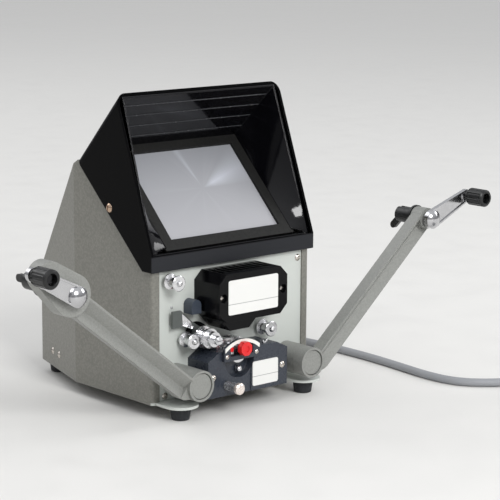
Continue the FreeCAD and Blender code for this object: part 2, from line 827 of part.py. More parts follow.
def hood_liner():
    mouth, inner = liner_corners()
    outer = frustum(mouth, inner)
    hollow = frustum(drawn_in(mouth, LINER), drawn_in(inner, LINER), 0.05)
    walls = outer.cut(hollow)
    return max(walls.Solids, key=lambda solid: solid.Volume)


def rear_mirror():
    slope = math.degrees(math.atan2(MIRROR_HIGH[1] - MIRROR_LOW[1], MIRROR_HIGH[0] - MIRROR_LOW[0]))
    long = math.dist(MIRROR_LOW, MIRROR_HIGH)
    glass = block(-MIRROR_WIDTH / 2, MIRROR_WIDTH / 2, 0, long, -MIRROR_THICK, 0)
    glass.rotate(Vector(0, 0, 0), Vector(1, 0, 0), slope)
    glass.translate(Vector(0, MIRROR_LOW[0], MIRROR_LOW[1]))
    return glass


def mirror_bracket():
    """A bent strip behind the mirror with a foot on the base plate."""
    run = (MIRROR_HIGH[0] - MIRROR_LOW[0], MIRROR_HIGH[1] - MIRROR_LOW[1])
    long = math.hypot(*run)
    way = (run[0] / long, run[1] / long)
    back = (way[1], -way[0])
    near = MIRROR_THICK
    far = MIRROR_THICK + BRACKET_SHEET
    rest = CASE_BOTTOM
    foot_top = rest + BRACKET_SHEET

    def behind(depth, z):
        step = (z - MIRROR_LOW[1] - back[1] * depth) / way[1]
        return (MIRROR_LOW[0] + back[0] * depth + way[0] * step, z)

    top = MIRROR_HIGH[1] - 6.0
    section = (
        (behind(near, foot_top)[0] - 14.0, rest),
        behind(far, rest),
        behind(far, top),
        behind(near, top),
        behind(near, foot_top),
        (behind(near, foot_top)[0] - 14.0, foot_top),
    )
    return plate("x", section, -MIRROR_WIDTH / 3, MIRROR_WIDTH / 3)


def chamfered(x0, x1, z0, z1, cuts):
    """A rectangle with cut corners; cuts run from the lower left, anticlockwise."""
    a, b, c, d = cuts
    points = []
    for corner, cut, one, two in (
        ((x0, z0), a, (0, 1), (1, 0)),
        ((x1, z0), b, (-1, 0), (0, 1)),
        ((x1, z1), c, (0, -1), (-1, 0)),
        ((x0, z1), d, (1, 0), (0, -1)),
    ):
        if cut == 0:
            points.append(corner)
            continue
        points.append((corner[0] + one[0] * cut, corner[1] + one[1] * cut))
        points.append((corner[0] + two[0] * cut, corner[1] + two[1] * cut))
    return points


def lamp_house():
    outline = chamfered(LAMP_X0, LAMP_X1, LAMP_Z0, LAMP_Z1, [LAMP_CHAMFER] * 4)
    body = plate("y", outline, -LAMP_DEPTH, PANEL_Y)
    chute = plate(
        "y",
        (
            (CHUTE_TOP[0], LAMP_Z0 + LAMP_WALL),
            (CHUTE_TOP[0], LAMP_Z0),
            (CHUTE_LOW[0], CHUTE_END_Z),
            (CHUTE_LOW[1], CHUTE_END_Z),
            (CHUTE_TOP[1], LAMP_Z0),
            (CHUTE_TOP[1], LAMP_Z0 + LAMP_WALL),
        ),
        CHUTE_Y0,
        CHUTE_Y1,
    )
    w = LAMP_WALL
    hollow = plate("y", inset(outline, w), -LAMP_DEPTH + w, PANEL_Y + 1)
    shaft = plate(
        "y",
        (
            (CHUTE_TOP[0] + w, LAMP_Z0 + 2 * w),
            (CHUTE_TOP[0] + w, LAMP_Z0),
            (CHUTE_LOW[0] + w, CHUTE_END_Z + w),
            (CHUTE_LOW[1] - w, CHUTE_END_Z + w),
            (CHUTE_TOP[1] - w, LAMP_Z0),
            (CHUTE_TOP[1] - w, LAMP_Z0 + 2 * w),
        ),
        CHUTE_Y0 + w,
        CHUTE_Y1 - w,
    )
    gate = Part.makeCylinder(CONDENSER_R - 1, 4, Vector(OPTIC_X, FILM_Y, CHUTE_END_Z - 1))
    body = body.fuse(chute).cut(hollow).cut(shaft).cut(gate)
    for i in range(VENTS):
        x = (LAMP_X0 + LAMP_X1) / 2 + (i - (VENTS - 1) / 2) * VENT_PITCH
        vent = block(x - VENT_WIDE / 2, x + VENT_WIDE / 2, -LAMP_DEPTH + 5, -3, LAMP_Z1 - 3, LAMP_Z1 + 1)
        body = body.cut(vent)
    for x, z in LAMP_SCREWS:
        pocket = rod(x, z, HOUSING_SCREW_R + 0.6, -LAMP_DEPTH - 1, -LAMP_DEPTH + LAMP_POCKET)
        post = rod(x, z, HOUSING_SCREW_R + 0.9, -LAMP_DEPTH + 0.2, PANEL_Y)
        body = body.fuse(post.common(plate("y", outline, -LAMP_DEPTH, PANEL_Y)))
        body = body.cut(pocket)
        body = body.cut(rod(x, z, HOUSING_SCREW_R * SCREW_SHANK + SEAT_GAP, -LAMP_DEPTH, PANEL_Y + 1))
    return body.removeSplitter()


def face_label(box, front):
    """A thin plate glued to a front face."""
    x0, x1, z0, z1 = box
    return plate("y", ((x0, z0), (x1, z0), (x1, z1), (x0, z1)), front - LABEL_THICK, front, 1.5)


def label_plates():
    lamp = face_label(LAMP_LABEL, -LAMP_DEPTH)
    return Part.makeCompound([lamp, face_label(GATE_LABEL, gate_front(GATE_X1))])


def housing_screws():
    screws = []
    for x, z in LAMP_SCREWS:
        screws.append(long_screw(x, -LAMP_DEPTH + LAMP_POCKET, z, HOUSING_SCREW_R))
    for x, z in HOUSING_SCREWS:
        front = gate_front(x)
        screws.append(long_screw(x, front, z, HOUSING_SCREW_R))
    plate_front = -GATE_DEPTH - GATE_STEP - PLATE_THICK
    screws += [screw(x, plate_front, z, PLATE_SCREW_R, BACK) for x, z in plate_screw_places()]
    return Part.makeCompound(screws)


def long_screw(x, y, z, radius):
    """A slotted screw whose shank runs back through the front panel."""
    head = screw(x, y, z, radius, BACK)
    return head.fuse(rod(x, z, radius * SCREW_SHANK, y + SCREW_LONG - 1, PANEL_BACK + 2)).removeSplitter()


def gate_front(x):
    """The y of the gate housing's face; its right part stands a little proud."""
    return -GATE_DEPTH - (GATE_STEP if x > GATE_STEP_X else 0.0)


def gate_outline():
    return (
        (GATE_X0, GATE_Z0),
        (GATE_X1, GATE_Z0),
        (GATE_X1, GATE_Z1 - 4.8),
        (GATE_X1 - 10.0, GATE_Z1),
        (GATE_X0 + 9.8, GATE_Z1),
        (GATE_X0, GATE_Z1 - 5.8),
    )


def gate_housing():
    outline = gate_outline()
    body = plate("y", outline, -GATE_DEPTH, PANEL_Y)
    proud = plate("y", outline, -GATE_DEPTH - GATE_STEP, -GATE_DEPTH)
    proud = proud.common(block(GATE_STEP_X, GATE_X1, -CASE_DEPTH, 0, 0, CASE_DEPTH))
    floor_y = -GATE_DEPTH + RECESS_DEEP
    hollow = plate("y", inset(outline, GATE_WALL), floor_y + RECESS_FLOOR, PANEL_Y + 1)
    body = body.fuse(proud).cut(hollow)
    body = body.cut(rod(OPTIC_X, OPTIC_Z, RECESS_RADIUS, -GATE_DEPTH - 5, floor_y))
    light = block(
        OPTIC_X - APERTURE / 2, OPTIC_X + APERTURE / 2, FILM_Y - APERTURE / 2, FILM_Y + APERTURE / 2, GATE_Z1 - 4, GATE_Z1 + 1
    )
    body = body.cut(light)
    body = body.cut(
        rod(FORMAT_X, FORMAT_Z, KNOB_SPINDLE_R + RUNNING_GAP, -GATE_DEPTH, SHOE_Y0 + FORMAT_SEAT)
    )
    body = body.cut(
        rod(BUTTON_X, BUTTON_Z, BUTTON_STEM_R + RUNNING_GAP, -GATE_DEPTH - 1, floor_y + RECESS_FLOOR + 1)
    )
    body = body.cut(rod(BALL_X, BALL_Z, BALL_R / 2, floor_y - 1, floor_y + RECESS_FLOOR + 1))
    for x, z in HOUSING_SCREWS:
        post = rod(x, z, HOUSING_SCREW_R + 1, -GATE_DEPTH, PANEL_Y)
        body = body.fuse(post.common(plate("y", outline, -GATE_DEPTH, PANEL_Y)))
        body = body.cut(rod(x, z, HOUSING_SCREW_R * SCREW_SHANK + SEAT_GAP, -GATE_DEPTH - 2, PANEL_Y + 1))
    for x, z in plate_screw_places():
        body = body.cut(
            rod(x, z, PLATE_SCREW_R * SCREW_SHANK + SEAT_GAP, -GATE_DEPTH - 2, -GATE_DEPTH + SCREW_LONG)
        )
    return body.removeSplitter()


def arch(radius, y0, y1):
    """The round top of the film gate's plate."""
    return rod(OPTIC_X, ARCH_TOP - ARCH_RADIUS, radius, y0, y1)


def gate_plate():
    """The plate round the format knob: screwed ears and an opening under an arched top."""
    front = -GATE_DEPTH - GATE_STEP - PLATE_THICK
    back = -GATE_DEPTH - GATE_STEP
    body = block(PLATE_X0, PLATE_X1, front, back, PLATE_Z0, ARCH_TOP + 1)
    body = body.common(arch(ARCH_RADIUS, front, back))
    window = arch(ARCH_RADIUS - ARCH_STRIP, front - 1, back + 1)
    sill = PLATE_Z0 + PLATE_SILL
    window = window.common(
        block(OPTIC_X - WINDOW_HALF, OPTIC_X + WINDOW_HALF, front - 1, back + 1, sill, ARCH_TOP)
    )
    spacer = block(PLATE_X0, GATE_STEP_X, back, -GATE_DEPTH, PLATE_Z0, GATE_Z1 - 1.0)
    spacer = spacer.cut(rod(OPTIC_X, OPTIC_Z, RECESS_RADIUS, back - 1, 0))
    spacer = spacer.common(block(PLATE_X0, OPTIC_X, back, -GATE_DEPTH, PLATE_Z0, GATE_Z1))
    body = body.cut(window).fuse(spacer)
    for x, z in plate_screw_places():
        body = body.cut(rod(x, z, PLATE_SCREW_R * SCREW_SHANK + SEAT_GAP, front - 1, -GATE_DEPTH + 1))
    return body.removeSplitter()


def plate_screw_places():
    z = (PLATE_Z0 + PLATE_EAR_Z) / 2
    return ((PLATE_X0 + 2.6, z), (PLATE_X1 - 2.8, z))


def gate_arc():
    """The white strip along the arched edge of the gate plate."""
    front = -GATE_DEPTH - GATE_STEP - PLATE_THICK
    ring = arch(
        ARCH_RADIUS, front - ARC_PROUD, front
    ).cut(arch(ARCH_RADIUS - ARCH_STRIP, front - 5, front + 1))
    return ring.common(block(PLATE_X0 + 0.5, PLATE_X1 - 0.5, front - 2, front, PLATE_EAR_Z, ARCH_TOP + 1))


def film_shoe():
    """The polished shoe that the film rides over, with the picture aperture in its top."""
    low = GATE_Z1
    top = SHOE_BASE_Z
    body = plate(
        "y",
        (
            (OPTIC_X - 14.0, low),
            (OPTIC_X + 14.0, low),
            (OPTIC_X + 14.0, top - 3.5),
            (OPTIC_X + 7.0, top),
            (OPTIC_X - 7.0, top),
            (OPTIC_X - 14.0, top - 3.5),
        ),
        SHOE_Y0,
        SHOE_Y1,
        (0, 0, 2.0, 6.0, 6.0, 2.0),
    )
    light = block(
        OPTIC_X - APERTURE / 2,
        OPTIC_X + APERTURE / 2,
        FILM_Y - APERTURE / 2,
        FILM_Y + APERTURE / 2,
        low - 1,
        top + 1,
    )
    body = body.cut(light)
    return body.cut(
        rod(FORMAT_X, FORMAT_Z, KNOB_SPINDLE_R + RUNNING_GAP, SHOE_Y0 - 1, SHOE_Y0 + FORMAT_SEAT)
    )


def gate_ball():
    """The ball-headed pin in the round recess."""
    floor_y = -GATE_DEPTH + RECESS_DEEP
    ball = Part.makeSphere(BALL_R, Vector(BALL_X, floor_y - BALL_R + 0.3, BALL_Z))
    ball = ball.common(block(BALL_X - 5, BALL_X + 5, -CASE_DEPTH, floor_y, BALL_Z - 5, BALL_Z + 5))
    return ball.fuse(rod(BALL_X, BALL_Z, BALL_R / 2, floor_y, floor_y + RECESS_FLOOR)).removeSplitter()


def notcher_button():
    face = -GATE_DEPTH
    tip = face - BUTTON_OUT
    inner = face + RECESS_DEEP + RECESS_FLOOR + 2.0
    stem = turned_bar(
        BUTTON_X,
        BUTTON_Z,
        (
            (tip, BUTTON_HEAD_R - 1.2),
            (tip + 0.8, BUTTON_HEAD_R),
            (tip + 3.0, BUTTON_HEAD_R),
            (tip + 3.0, BUTTON_STEM_R),
            (inner, BUTTON_STEM_R),
        ),
    )
    for i in range(BUTTON_GROOVES):
        y = tip + 4.2 + i * 1.6
        ring = rod(BUTTON_X, BUTTON_Z, BUTTON_HEAD_R + 1, y, y + 0.6)
        stem = stem.cut(ring.cut(rod(BUTTON_X, BUTTON_Z, BUTTON_STEM_R - 0.5, y, y + 0.6)))
    return stem


def format_knob():
    """A small knob with flats round its rim, a pointer beside it and a spindle."""
    sides = 8
    points = []
    for i in range(sides):
        a = 2 * math.pi * (i + 0.5) / sides
        points.append((FORMAT_X + FORMAT_R * math.cos(a), FORMAT_Z + FORMAT_R * math.sin(a)))
    knob = plate("y", points, FORMAT_Y0, FORMAT_Y1, 0.8)
    knob = knob.cut(rod(FORMAT_X, FORMAT_Z, FORMAT_R * 0.45, FORMAT_Y0 - 1, FORMAT_Y0 + 0.6))
    spindle = rod(FORMAT_X, FORMAT_Z, KNOB_SPINDLE_R, FORMAT_Y1 - 1, SHOE_Y0 + FORMAT_SEAT - LOOSE_GAP)
    return knob.fuse(spindle).removeSplitter()


def focus_knob():
    """A knob with a round top that stands on the front panel."""
    half = FOCUS_WIDE / 2
    low = FOCUS_Z - FOCUS_TALL / 2
    turn = FOCUS_Z + FOCUS_TALL / 2 - half
    front = PANEL_Y - LOOSE_GAP - FOCUS_DEEP
    back = PANEL_Y - LOOSE_GAP
    body = block(FOCUS_X - half, FOCUS_X + half, front, back, low, turn)
    body = body.fuse(rod(FOCUS_X, turn, half, front, back)).removeSplitter()
    spindle = rod(FOCUS_X, FOCUS_Z, KNOB_SPINDLE_R, back - 1, PANEL_BACK + 3)
    return body.fuse(spindle).removeSplitter()


def roller(place):
    """A film roller with two flanges, free on its stud."""
    x, z = ROLLER_PLACES[place]
    core0 = ROLLER_Y0 + ROLLER_FLANGE
    core1 = ROLLER_Y1 - ROLLER_FLANGE
    body = turned_bar(
        x,
        z,
        (
            (ROLLER_Y0, ROLLER_R - 0.5),
            (ROLLER_Y0 + 0.4, ROLLER_R),
            (core0, ROLLER_R),
            (core0 + 0.8, ROLLER_CORE_R),
            (core1 - 0.8, ROLLER_CORE_R),
            (core1, ROLLER_R),
            (ROLLER_Y1, ROLLER_R),
        ),
    )
    return body.cut(rod(x, z, STUD_R + RUNNING_GAP, ROLLER_Y0 - 1, ROLLER_Y1 + 1))


def roller_studs():
    studs = []
    for x, z in ROLLER_PLACES.values():
        head_back = ROLLER_Y0 - LOOSE_GAP / 2
        stud = rod(x, z, STUD_R, head_back - 0.5, PANEL_BACK + 1)
        head = dome(x, z, STUD_HEAD_R, head_back, head_back - STUD_HEAD)
        collar = rod(x, z, STUD_R + 1.2, ROLLER_Y1 + LOOSE_GAP / 2, PANEL_Y)
        studs.append(stud.fuse(head).fuse(collar).removeSplitter())
    return Part.makeCompound(studs)


def sprocket():
    """The toothed wheel that the film turns, with its discs and slotted end, on one shaft."""
    drum = SPROCKET_PITCH_R - 0.4
    steps = (
        (SPROCKET_TIP_Y, 2.4),
        (SPROCKET_TIP_Y + 0.8, 3.2),
        (-20.4, 3.2),
        (-20.4, 5.3),
        (-15.6, 5.3),
        (-15.6, 7.0),
        (-14.0, 7.0),
        (-14.0, drum),
        (-8.6, drum),
        (-8.6, 7.6),
        (-7.2, 7.6),
        (-7.2, 4.2),
        (LEVER_Y0 - LOOSE_GAP, 4.2),
        (LEVER_Y0 - LOOSE_GAP, SPROCKET_SHAFT_R),
        (GEAR_Y0 + GEAR_WIDE + 4.0, SPROCKET_SHAFT_R),
    )
    body = turned_bar(SPROCKET_X, SPROCKET_Z, steps)
    tooth = plate(
        "x",
        ((-11.6, drum - 0.3), (-10.4, drum - 0.3), (-10.7, drum + 0.9), (-11.3, drum + 0.9)),
        -0.5,
        0.5,
    )
    for i in range(SPROCKET_TEETH):
        one = tooth.copy()
        one.rotate(Vector(0, 0, 0), Vector(0, 1, 0), 360.0 * i / SPROCKET_TEETH)
        one.translate(Vector(SPROCKET_X, 0, SPROCKET_Z))
        body = body.fuse(one)
    slot = block(
        SPROCKET_X - 4,
        SPROCKET_X + 4,
        SPROCKET_TIP_Y - 1,
        SPROCKET_TIP_Y + 1.4,
        SPROCKET_Z - 0.5,
        SPROCKET_Z + 0.5,
    )
    return body.cut(slot)


def train_angle():
    """The direction from the sprocket's shaft to the prism's, in degrees."""
    return math.degrees(math.atan2(OPTIC_Z - SPROCKET_Z, OPTIC_X - SPROCKET_X))


def train_radii():
    """Pitch radii of the sprocket's gear and the prism's pinion, from the distance between them."""
    distance = math.hypot(OPTIC_X - SPROCKET_X, OPTIC_Z - SPROCKET_Z)
    share = distance / (GEAR_TEETH + PINION_TEETH)
    return share * GEAR_TEETH, share * PINION_TEETH


def sprocket_gear():
    large = train_radii()[0]
    return gear(
        SPROCKET_X, SPROCKET_Z, GEAR_TEETH, large, SPROCKET_SHAFT_R, GEAR_Y0, GEAR_Y0 + GEAR_WIDE, train_angle()
    )


def prism_pinion():
    small = train_radii()[1]
    gap_at = train_angle() + 180.0 + 180.0 / PINION_TEETH
    return gear(
        OPTIC_X, OPTIC_Z, PINION_TEETH, small, PRISM_SHAFT_R / 2, GEAR_Y0, GEAR_Y0 + GEAR_WIDE, gap_at
    )


def prism_shaft():
    """The shaft that carries the prism in front of the panel and its pinion behind it."""
    shaft = rod(OPTIC_X, OPTIC_Z, PRISM_SHAFT_R, prism_back(), GEAR_Y0 + GEAR_WIDE + 2.0)
    cup = rod(OPTIC_X, OPTIC_Z, PRISM_SIDE / 2, prism_back(), prism_back() + 1.2)
    return cup.fuse(shaft).fuse(prism_pinion()).removeSplitter()


def prism_back():
    return FILM_Y + PRISM_DEEP / 2


def optical_prism():
    """The square glass prism that turns with the film and steadies its picture."""
    half = PRISM_SIDE / 2
    front = FILM_Y - PRISM_DEEP / 2
    glass = block(-half, half, front, prism_back(), -half, half)
    glass.rotate(Vector(0, 0, 0), Vector(0, 1, 0), 20)
    glass.translate(Vector(OPTIC_X, 0, OPTIC_Z))
    return glass


def turning_mirror():
    """A wedge under the prism that throws the picture back into the lens."""
    half = MIRROR_BLOCK / 2
    centre = BEAM_Z
    wedge = plate(
        "x",
        (
            (PANEL_Y, centre - half),
            (PANEL_Y, centre - half + 1.0),
            (FILM_Y + half, centre - half + 1.0),
            (FILM_Y - half + 1.0, centre + half - 1.0),
            (FILM_Y - half, centre + half - 1.0),
            (FILM_Y - half, centre - half),
        ),
        OPTIC_X - half,
        OPTIC_X + half,
    )
    return wedge


def lens_barrel():
    y1 = BARREL_Y0 + BARREL_LONG
    flange = block(
        OPTIC_X - BARREL_R, OPTIC_X + BARREL_R, BARREL_Y0, BARREL_Y0 + 2.0, CASE_BOTTOM, BEAM_Z
    )
    foot = block(
        OPTIC_X - BARREL_R, OPTIC_X + BARREL_R, BARREL_Y0, y1 - 6.0, CASE_BOTTOM, CASE_BOTTOM + 1.0
    )
    body = rod(OPTIC_X, BEAM_Z, BARREL_R, BARREL_Y0, y1).fuse(flange).fuse(foot)
    body = body.cut(rod(OPTIC_X, BEAM_Z, BARREL_BORE, BARREL_Y0 - 1, y1 - LENS_THICK - 2.0))
    body = body.cut(rod(OPTIC_X, BEAM_Z, BARREL_BORE + 0.8, y1 - LENS_THICK - 2.0, y1 + 1))
    return body.removeSplitter()


def projection_lens():
    """A lens with two curved faces, seated in the end of the barrel."""
    y1 = BARREL_Y0 + BARREL_LONG - 1.0
    y0 = y1 - LENS_THICK
    radius = BARREL_BORE + 0.8
    blank = rod(OPTIC_X, BEAM_Z, radius, y0, y1)
    curve = radius * 2.0
    front = Part.makeSphere(curve, Vector(OPTIC_X, y0 + curve, BEAM_Z))
    back = Part.makeSphere(curve, Vector(OPTIC_X, y1 - curve, BEAM_Z))
    return blank.common(front).common(back)


def condenser_lens():
    """The lens under the lamp, lying in the end of the chute."""
    low = CHUTE_END_Z + LAMP_WALL
    blank = Part.makeCylinder(CONDENSER_R, CONDENSER_THICK, Vector(OPTIC_X, FILM_Y, low))
    curve = CONDENSER_R * 1.6
    ball = Part.makeSphere(curve, Vector(OPTIC_X, FILM_Y, low + CONDENSER_THICK - curve))
    return blank.common(ball)


def socket_start():
    """The open end of the lamp's holder, which ends clear of the right screw's post."""
    return LAMP_SCREWS[1][0] - HOUSING_SCREW_R - 0.9 - LOOSE_GAP - SOCKET_LONG


def lamp_socket():
    """The bayonet holder behind the front panel's light opening."""
    z = (LAMP_Z0 + LAMP_Z1) / 2
    x0 = socket_start()
    shell = Part.makeCylinder(SOCKET_R, SOCKET_LONG, Vector(x0, FILM_Y - 4, z), Vector(1, 0, 0))
    bore = Part.makeCylinder(
        SOCKET_R - 1.5, SOCKET_LONG - 3, Vector(x0 - 0.01, FILM_Y - 4, z), Vector(1, 0, 0)
    )
    strap = block(x0 + 4, x0 + 10, FILM_Y - 4, PANEL_Y, z - 3, z + 3)
    return shell.cut(bore).fuse(strap.cut(bore)).removeSplitter()


def lamp_bulb():
    """A small bulb: a glass ball on a brass cap that sits in the holder."""
    z = (LAMP_Z0 + LAMP_Z1) / 2
    x0 = socket_start()
    y = FILM_Y - 4
    cap = Part.makeCylinder(SOCKET_R - 1.5 - SEAT_GAP, 9.0, Vector(x0 - 3, y, z), Vector(1, 0, 0))
    glass = Part.makeSphere(LAMP_BULB_R, Vector(x0 - 3 - LAMP_BULB_R * 0.75, y, z), Vector(1, 0, 0))
    return cap.fuse(glass).removeSplitter()


def framing_lever():
    """The lever beside the sprocket: a ring on its shaft and an arm with a tab."""
    y1 = LEVER_Y0 + LEVER_THICK
    body = rod(SPROCKET_X, SPROCKET_Z, LEVER_RING_R, LEVER_Y0, y1)
    body = body.fuse(plate("y", LEVER_ARM, LEVER_Y0, y1))
    body = body.cut(rod(SPROCKET_X, SPROCKET_Z, SPROCKET_SHAFT_R + RUNNING_GAP, LEVER_Y0 - 1, y1 + 1))
    return body.removeSplitter()


def arm_beam(long, start):
    """The arm's channel, drawn along x from the pivot with z up from the pivot line."""
    section = (
        (ARM_FRONT, ARM_TOP_N),
        (ARM_BACK, ARM_TOP_N),
        (ARM_BACK, ARM_LOW_N),
        (ARM_LOW_Y, ARM_LOW_N),
        (ARM_CREASE_Y, ARM_CREASE_N),
        (ARM_FRONT, ARM_TOP_N - ARM_RIM),
    )
    return plate("x", section, start, long)


def arm_shape(hub, hub_r, long):
    """An arm with its pivot boss and hub boss, before it is turned to its rest angle."""
    beam = arm_beam(long, ARM_START)
    toe = plate(
        "y",
        (
            (0.0, ARM_TOP_N),
            (ARM_START, ARM_TOP_N),
            (ARM_START, ARM_LOW_N),
            (ARM_START - 3.5, ARM_LOW_N + 0.8),
            (0.0, -BOSS_R),
        ),
        ARM_LOW_Y,
        ARM_BACK,
    )
    boss = rod(0, 0, BOSS_R, BOSS_FRONT, PIVOT_BARREL_FRONT - LOOSE_GAP)
    end = rod(hub[0], hub[1], hub_r, ARM_FRONT, GEAR_CASE_BACK)
    body = beam.fuse(toe).fuse(boss).fuse(end)
    body = body.cut(rod(
        0, 0, BOSS_CAP_R + LOOSE_GAP, BOSS_FRONT - 1, BOSS_FRONT + BOSS_CAP_SINK + BOSS_CAP + LOOSE_GAP
    ))
    return body.cut(rod(0, 0, PIVOT_STUD_R + RUNNING_GAP, BOSS_FRONT, PIVOT_BARREL_FRONT + 1))


def set_arm(shape, side):
    """Turn an arm to its rest angle and put it on its own side."""
    shape.rotate(Vector(0, 0, 0), Vector(0, 1, 0), -ARM_ANGLES[side])
    shape.translate(Vector(ARM_PIVOT_X, 0, ARM_PIVOT_Z))
    if side < 0:
        shape = shape.mirror(Vector(0, 0, 0), Vector(1, 0, 0))
    return shape.removeSplitter()


def right_arm():
    body = arm_shape(RIGHT_HUB, RIGHT_HUB_R, RIGHT_HUB[0])
    bore = rod(RIGHT_HUB[0], RIGHT_HUB[1], CRANK_SHAFT_R + RUNNING_GAP, ARM_FRONT - 1, 0)
    return set_arm(body.cut(bore), 1)


def gear_case_outline(draw, y0, y1):
    """The gear case's oblong, drawn in by a thickness."""
    across = (GEAR_CASE_END[0] - LEFT_HUB[0], GEAR_CASE_END[1] - LEFT_HUB[1])
    angle = math.degrees(math.atan2(across[1], across[0]))
    return link(
        LEFT_HUB[0],
        LEFT_HUB[1],
        angle,
        math.hypot(*across),
        GEAR_CASE_R - draw,
        GEAR_CASE_END_R - draw,
        y0,
        y1,
    )


def left_arm():
    body = arm_shape(LEFT_HUB, GEAR_CASE_R - GEAR_CASE_WALL, LEFT_HUB[0])
    body = body.fuse(gear_case_outline(0.0, ARM_FRONT, GEAR_CASE_BACK))
    body = body.cut(gear_case_outline(GEAR_CASE_WALL, ARM_FRONT + GEAR_CASE_WALL, 0))
    bore = rod(LEFT_HUB[0], LEFT_HUB[1], CRANK_SHAFT_R + RUNNING_GAP, ARM_FRONT - 1, 0)
    seat = rod(
        LEFT_SPINDLE[0], LEFT_SPINDLE[1], SPINDLE_SHAFT_R + RUNNING_GAP, ARM_FRONT + 0.8, ARM_FRONT + GEAR_CASE_WALL + 1
    )
    return set_arm(body.cut(bore).cut(seat), -1)


def left_gear_cover():
    """The plate that closes the gear case and carries the spindle."""
    front = GEAR_CASE_BACK - COVER_THICK
    cover = gear_case_outline(GEAR_CASE_WALL + SEAT_GAP, front, GEAR_CASE_BACK)
    cover = cover.cut(rod(LEFT_HUB[0], LEFT_HUB[1], CRANK_SHAFT_R + RUNNING_GAP, front - 1, 0))
    cover = cover.cut(rod(LEFT_SPINDLE[0], LEFT_SPINDLE[1], SPINDLE_SHAFT_R + RUNNING_GAP, front - 1, 0))
    return set_arm(cover, -1)


def arm_pivots():
    """Both fixed barrels, each with the stud and headed cap that its arm turns on."""
    pivots = []
    for side in (-1, 1):
        x = side * ARM_PIVOT_X
        cap_front = BOSS_FRONT + BOSS_CAP_SINK
        barrel = rod(x, ARM_PIVOT_Z, BOSS_R, PIVOT_BARREL_FRONT, PANEL_Y)
        stud = rod(x, ARM_PIVOT_Z, PIVOT_STUD_R, cap_front, PANEL_BACK + 3)
        cap = rod(x, ARM_PIVOT_Z, BOSS_CAP_R, cap_front, cap_front + BOSS_CAP)
        cap = cap.makeChamfer(0.4, [e for e in cap.Edges if e.BoundBox.YMax < cap_front + 0.01])
        pivots.append(barrel.fuse(stud).fuse(cap).removeSplitter())
    return Part.makeCompound(pivots)


def crank_place(side):
    """The crank's axis, and the direction of its grip in degrees."""
    hub = LEFT_HUB if side < 0 else RIGHT_HUB
    knob = LEFT_KNOB_AXIS if side < 0 else RIGHT_KNOB_AXIS
    x, z = arm_point(side, *hub)
    return x, z, math.degrees(math.atan2(knob[1] - z, knob[0] - x))


def grip_place(side):
    """The axis of the crank's grip."""
    x, z, way = crank_place(side)
    a = math.radians(way)
    return x + CRANK_LONG * math.cos(a), z + CRANK_LONG * math.sin(a)


def crank(side, shaft_end):
    """A polished lever with raised rims, a domed hub, its shaft and the pin of its grip."""
    x, z, way = crank_place(side)
    lever = link(x, z, way, CRANK_LONG, CRANK_HUB_R, CRANK_END_R, CRANK_Y0, CRANK_Y1)
    dish = link(
        x, z, way, CRANK_LONG, CRANK_HUB_R - CRANK_RIM, CRANK_END_R - CRANK_RIM, CRANK_Y0 - 1, CRANK_Y1 - CRANK_WEB
    )
    cap = rod(x, z, CRANK_HUB_R - 0.1, CRANK_Y0, CRANK_Y1 - CRANK_WEB)
    cap = cap.fuse(dome(x, z, CRANK_HUB_R - 0.1, CRANK_Y0, DOME_FRONT))
    collar = rod(x, z, COLLAR_R, CRANK_Y1, ARM_FRONT - LOOSE_GAP)
    shaft = rod(x, z, CRANK_SHAFT_R, CRANK_Y1, shaft_end)
    gx, gz = grip_place(side)
    boss = rod(gx, gz, CRANK_END_R - 0.1, CRANK_Y0, CRANK_Y1 - CRANK_WEB)
    head_back = GRIP_FRONT + GRIP_BORE_DEEP - LOOSE_GAP
    pin = rod(gx, gz, GRIP_PIN_R, head_back, CRANK_Y1)
    head = rod(gx, gz, GRIP_PIN_HEAD_R, head_back - GRIP_PIN_HEAD, head_back)
    body = lever.cut(dish)
    for piece in (cap, collar, shaft, boss, pin, head):
        body = body.fuse(piece)
    return body.removeSplitter()


def crank_grip(side):
    """The fluted grip, free on the crank's pin, with its neck and open end."""
    x, z = grip_place(side)
    back = CRANK_Y0 - LOOSE_GAP
    shoulder = CRANK_Y1 - CRANK_WEB - GRIP_NECK
    body = turned_bar(
        x,
        z,
        (
            (GRIP_FRONT, GRIP_R - 1.0),
            (GRIP_FRONT + 1.0, GRIP_R),
            (shoulder - 1.5, GRIP_R),
            (shoulder, GRIP_R - 1.5),
            (shoulder, GRIP_NECK_R),
            (back, GRIP_NECK_R),
        ),
    )
    for i in range(GRIP_FLUTES):
        a = 2 * math.pi * i / GRIP_FLUTES
        reach = GRIP_R + 0.5
        groove = rod(
            x + reach * math.cos(a), z + reach * math.sin(a), 1.0, GRIP_FRONT + 1.6, shoulder - 1.8
        )
        body = body.cut(groove)
    body = body.cut(rod(x, z, GRIP_BORE_R, GRIP_FRONT - 1, GRIP_FRONT + GRIP_BORE_DEEP))
    return body.cut(rod(x, z, GRIP_PIN_R + RUNNING_GAP, GRIP_FRONT, back + 1))


def drive_train():
    """Pitch radii of the crank's gear and the spindle's pinion, and the direction between them."""
    x, z = arm_point(-1, *LEFT_HUB)
    sx, sz = arm_point(-1, *LEFT_SPINDLE)
    share = math.hypot(sx - x, sz - z) / (DRIVE_TEETH + SPINDLE_TEETH)
    return share * DRIVE_TEETH, share * SPINDLE_TEETH, math.degrees(math.atan2(sz - z, sx - x))


def gear_depth():
    y0 = ARM_FRONT + GEAR_CASE_WALL + 1.0
    return y0, y0 + DRIVE_GEAR_WIDE


def left_crank_gear():
    large, _, way = drive_train()
    x, z = arm_point(-1, *LEFT_HUB)
    return gear(x, z, DRIVE_TEETH, large, CRANK_SHAFT_R, *gear_depth(), way)


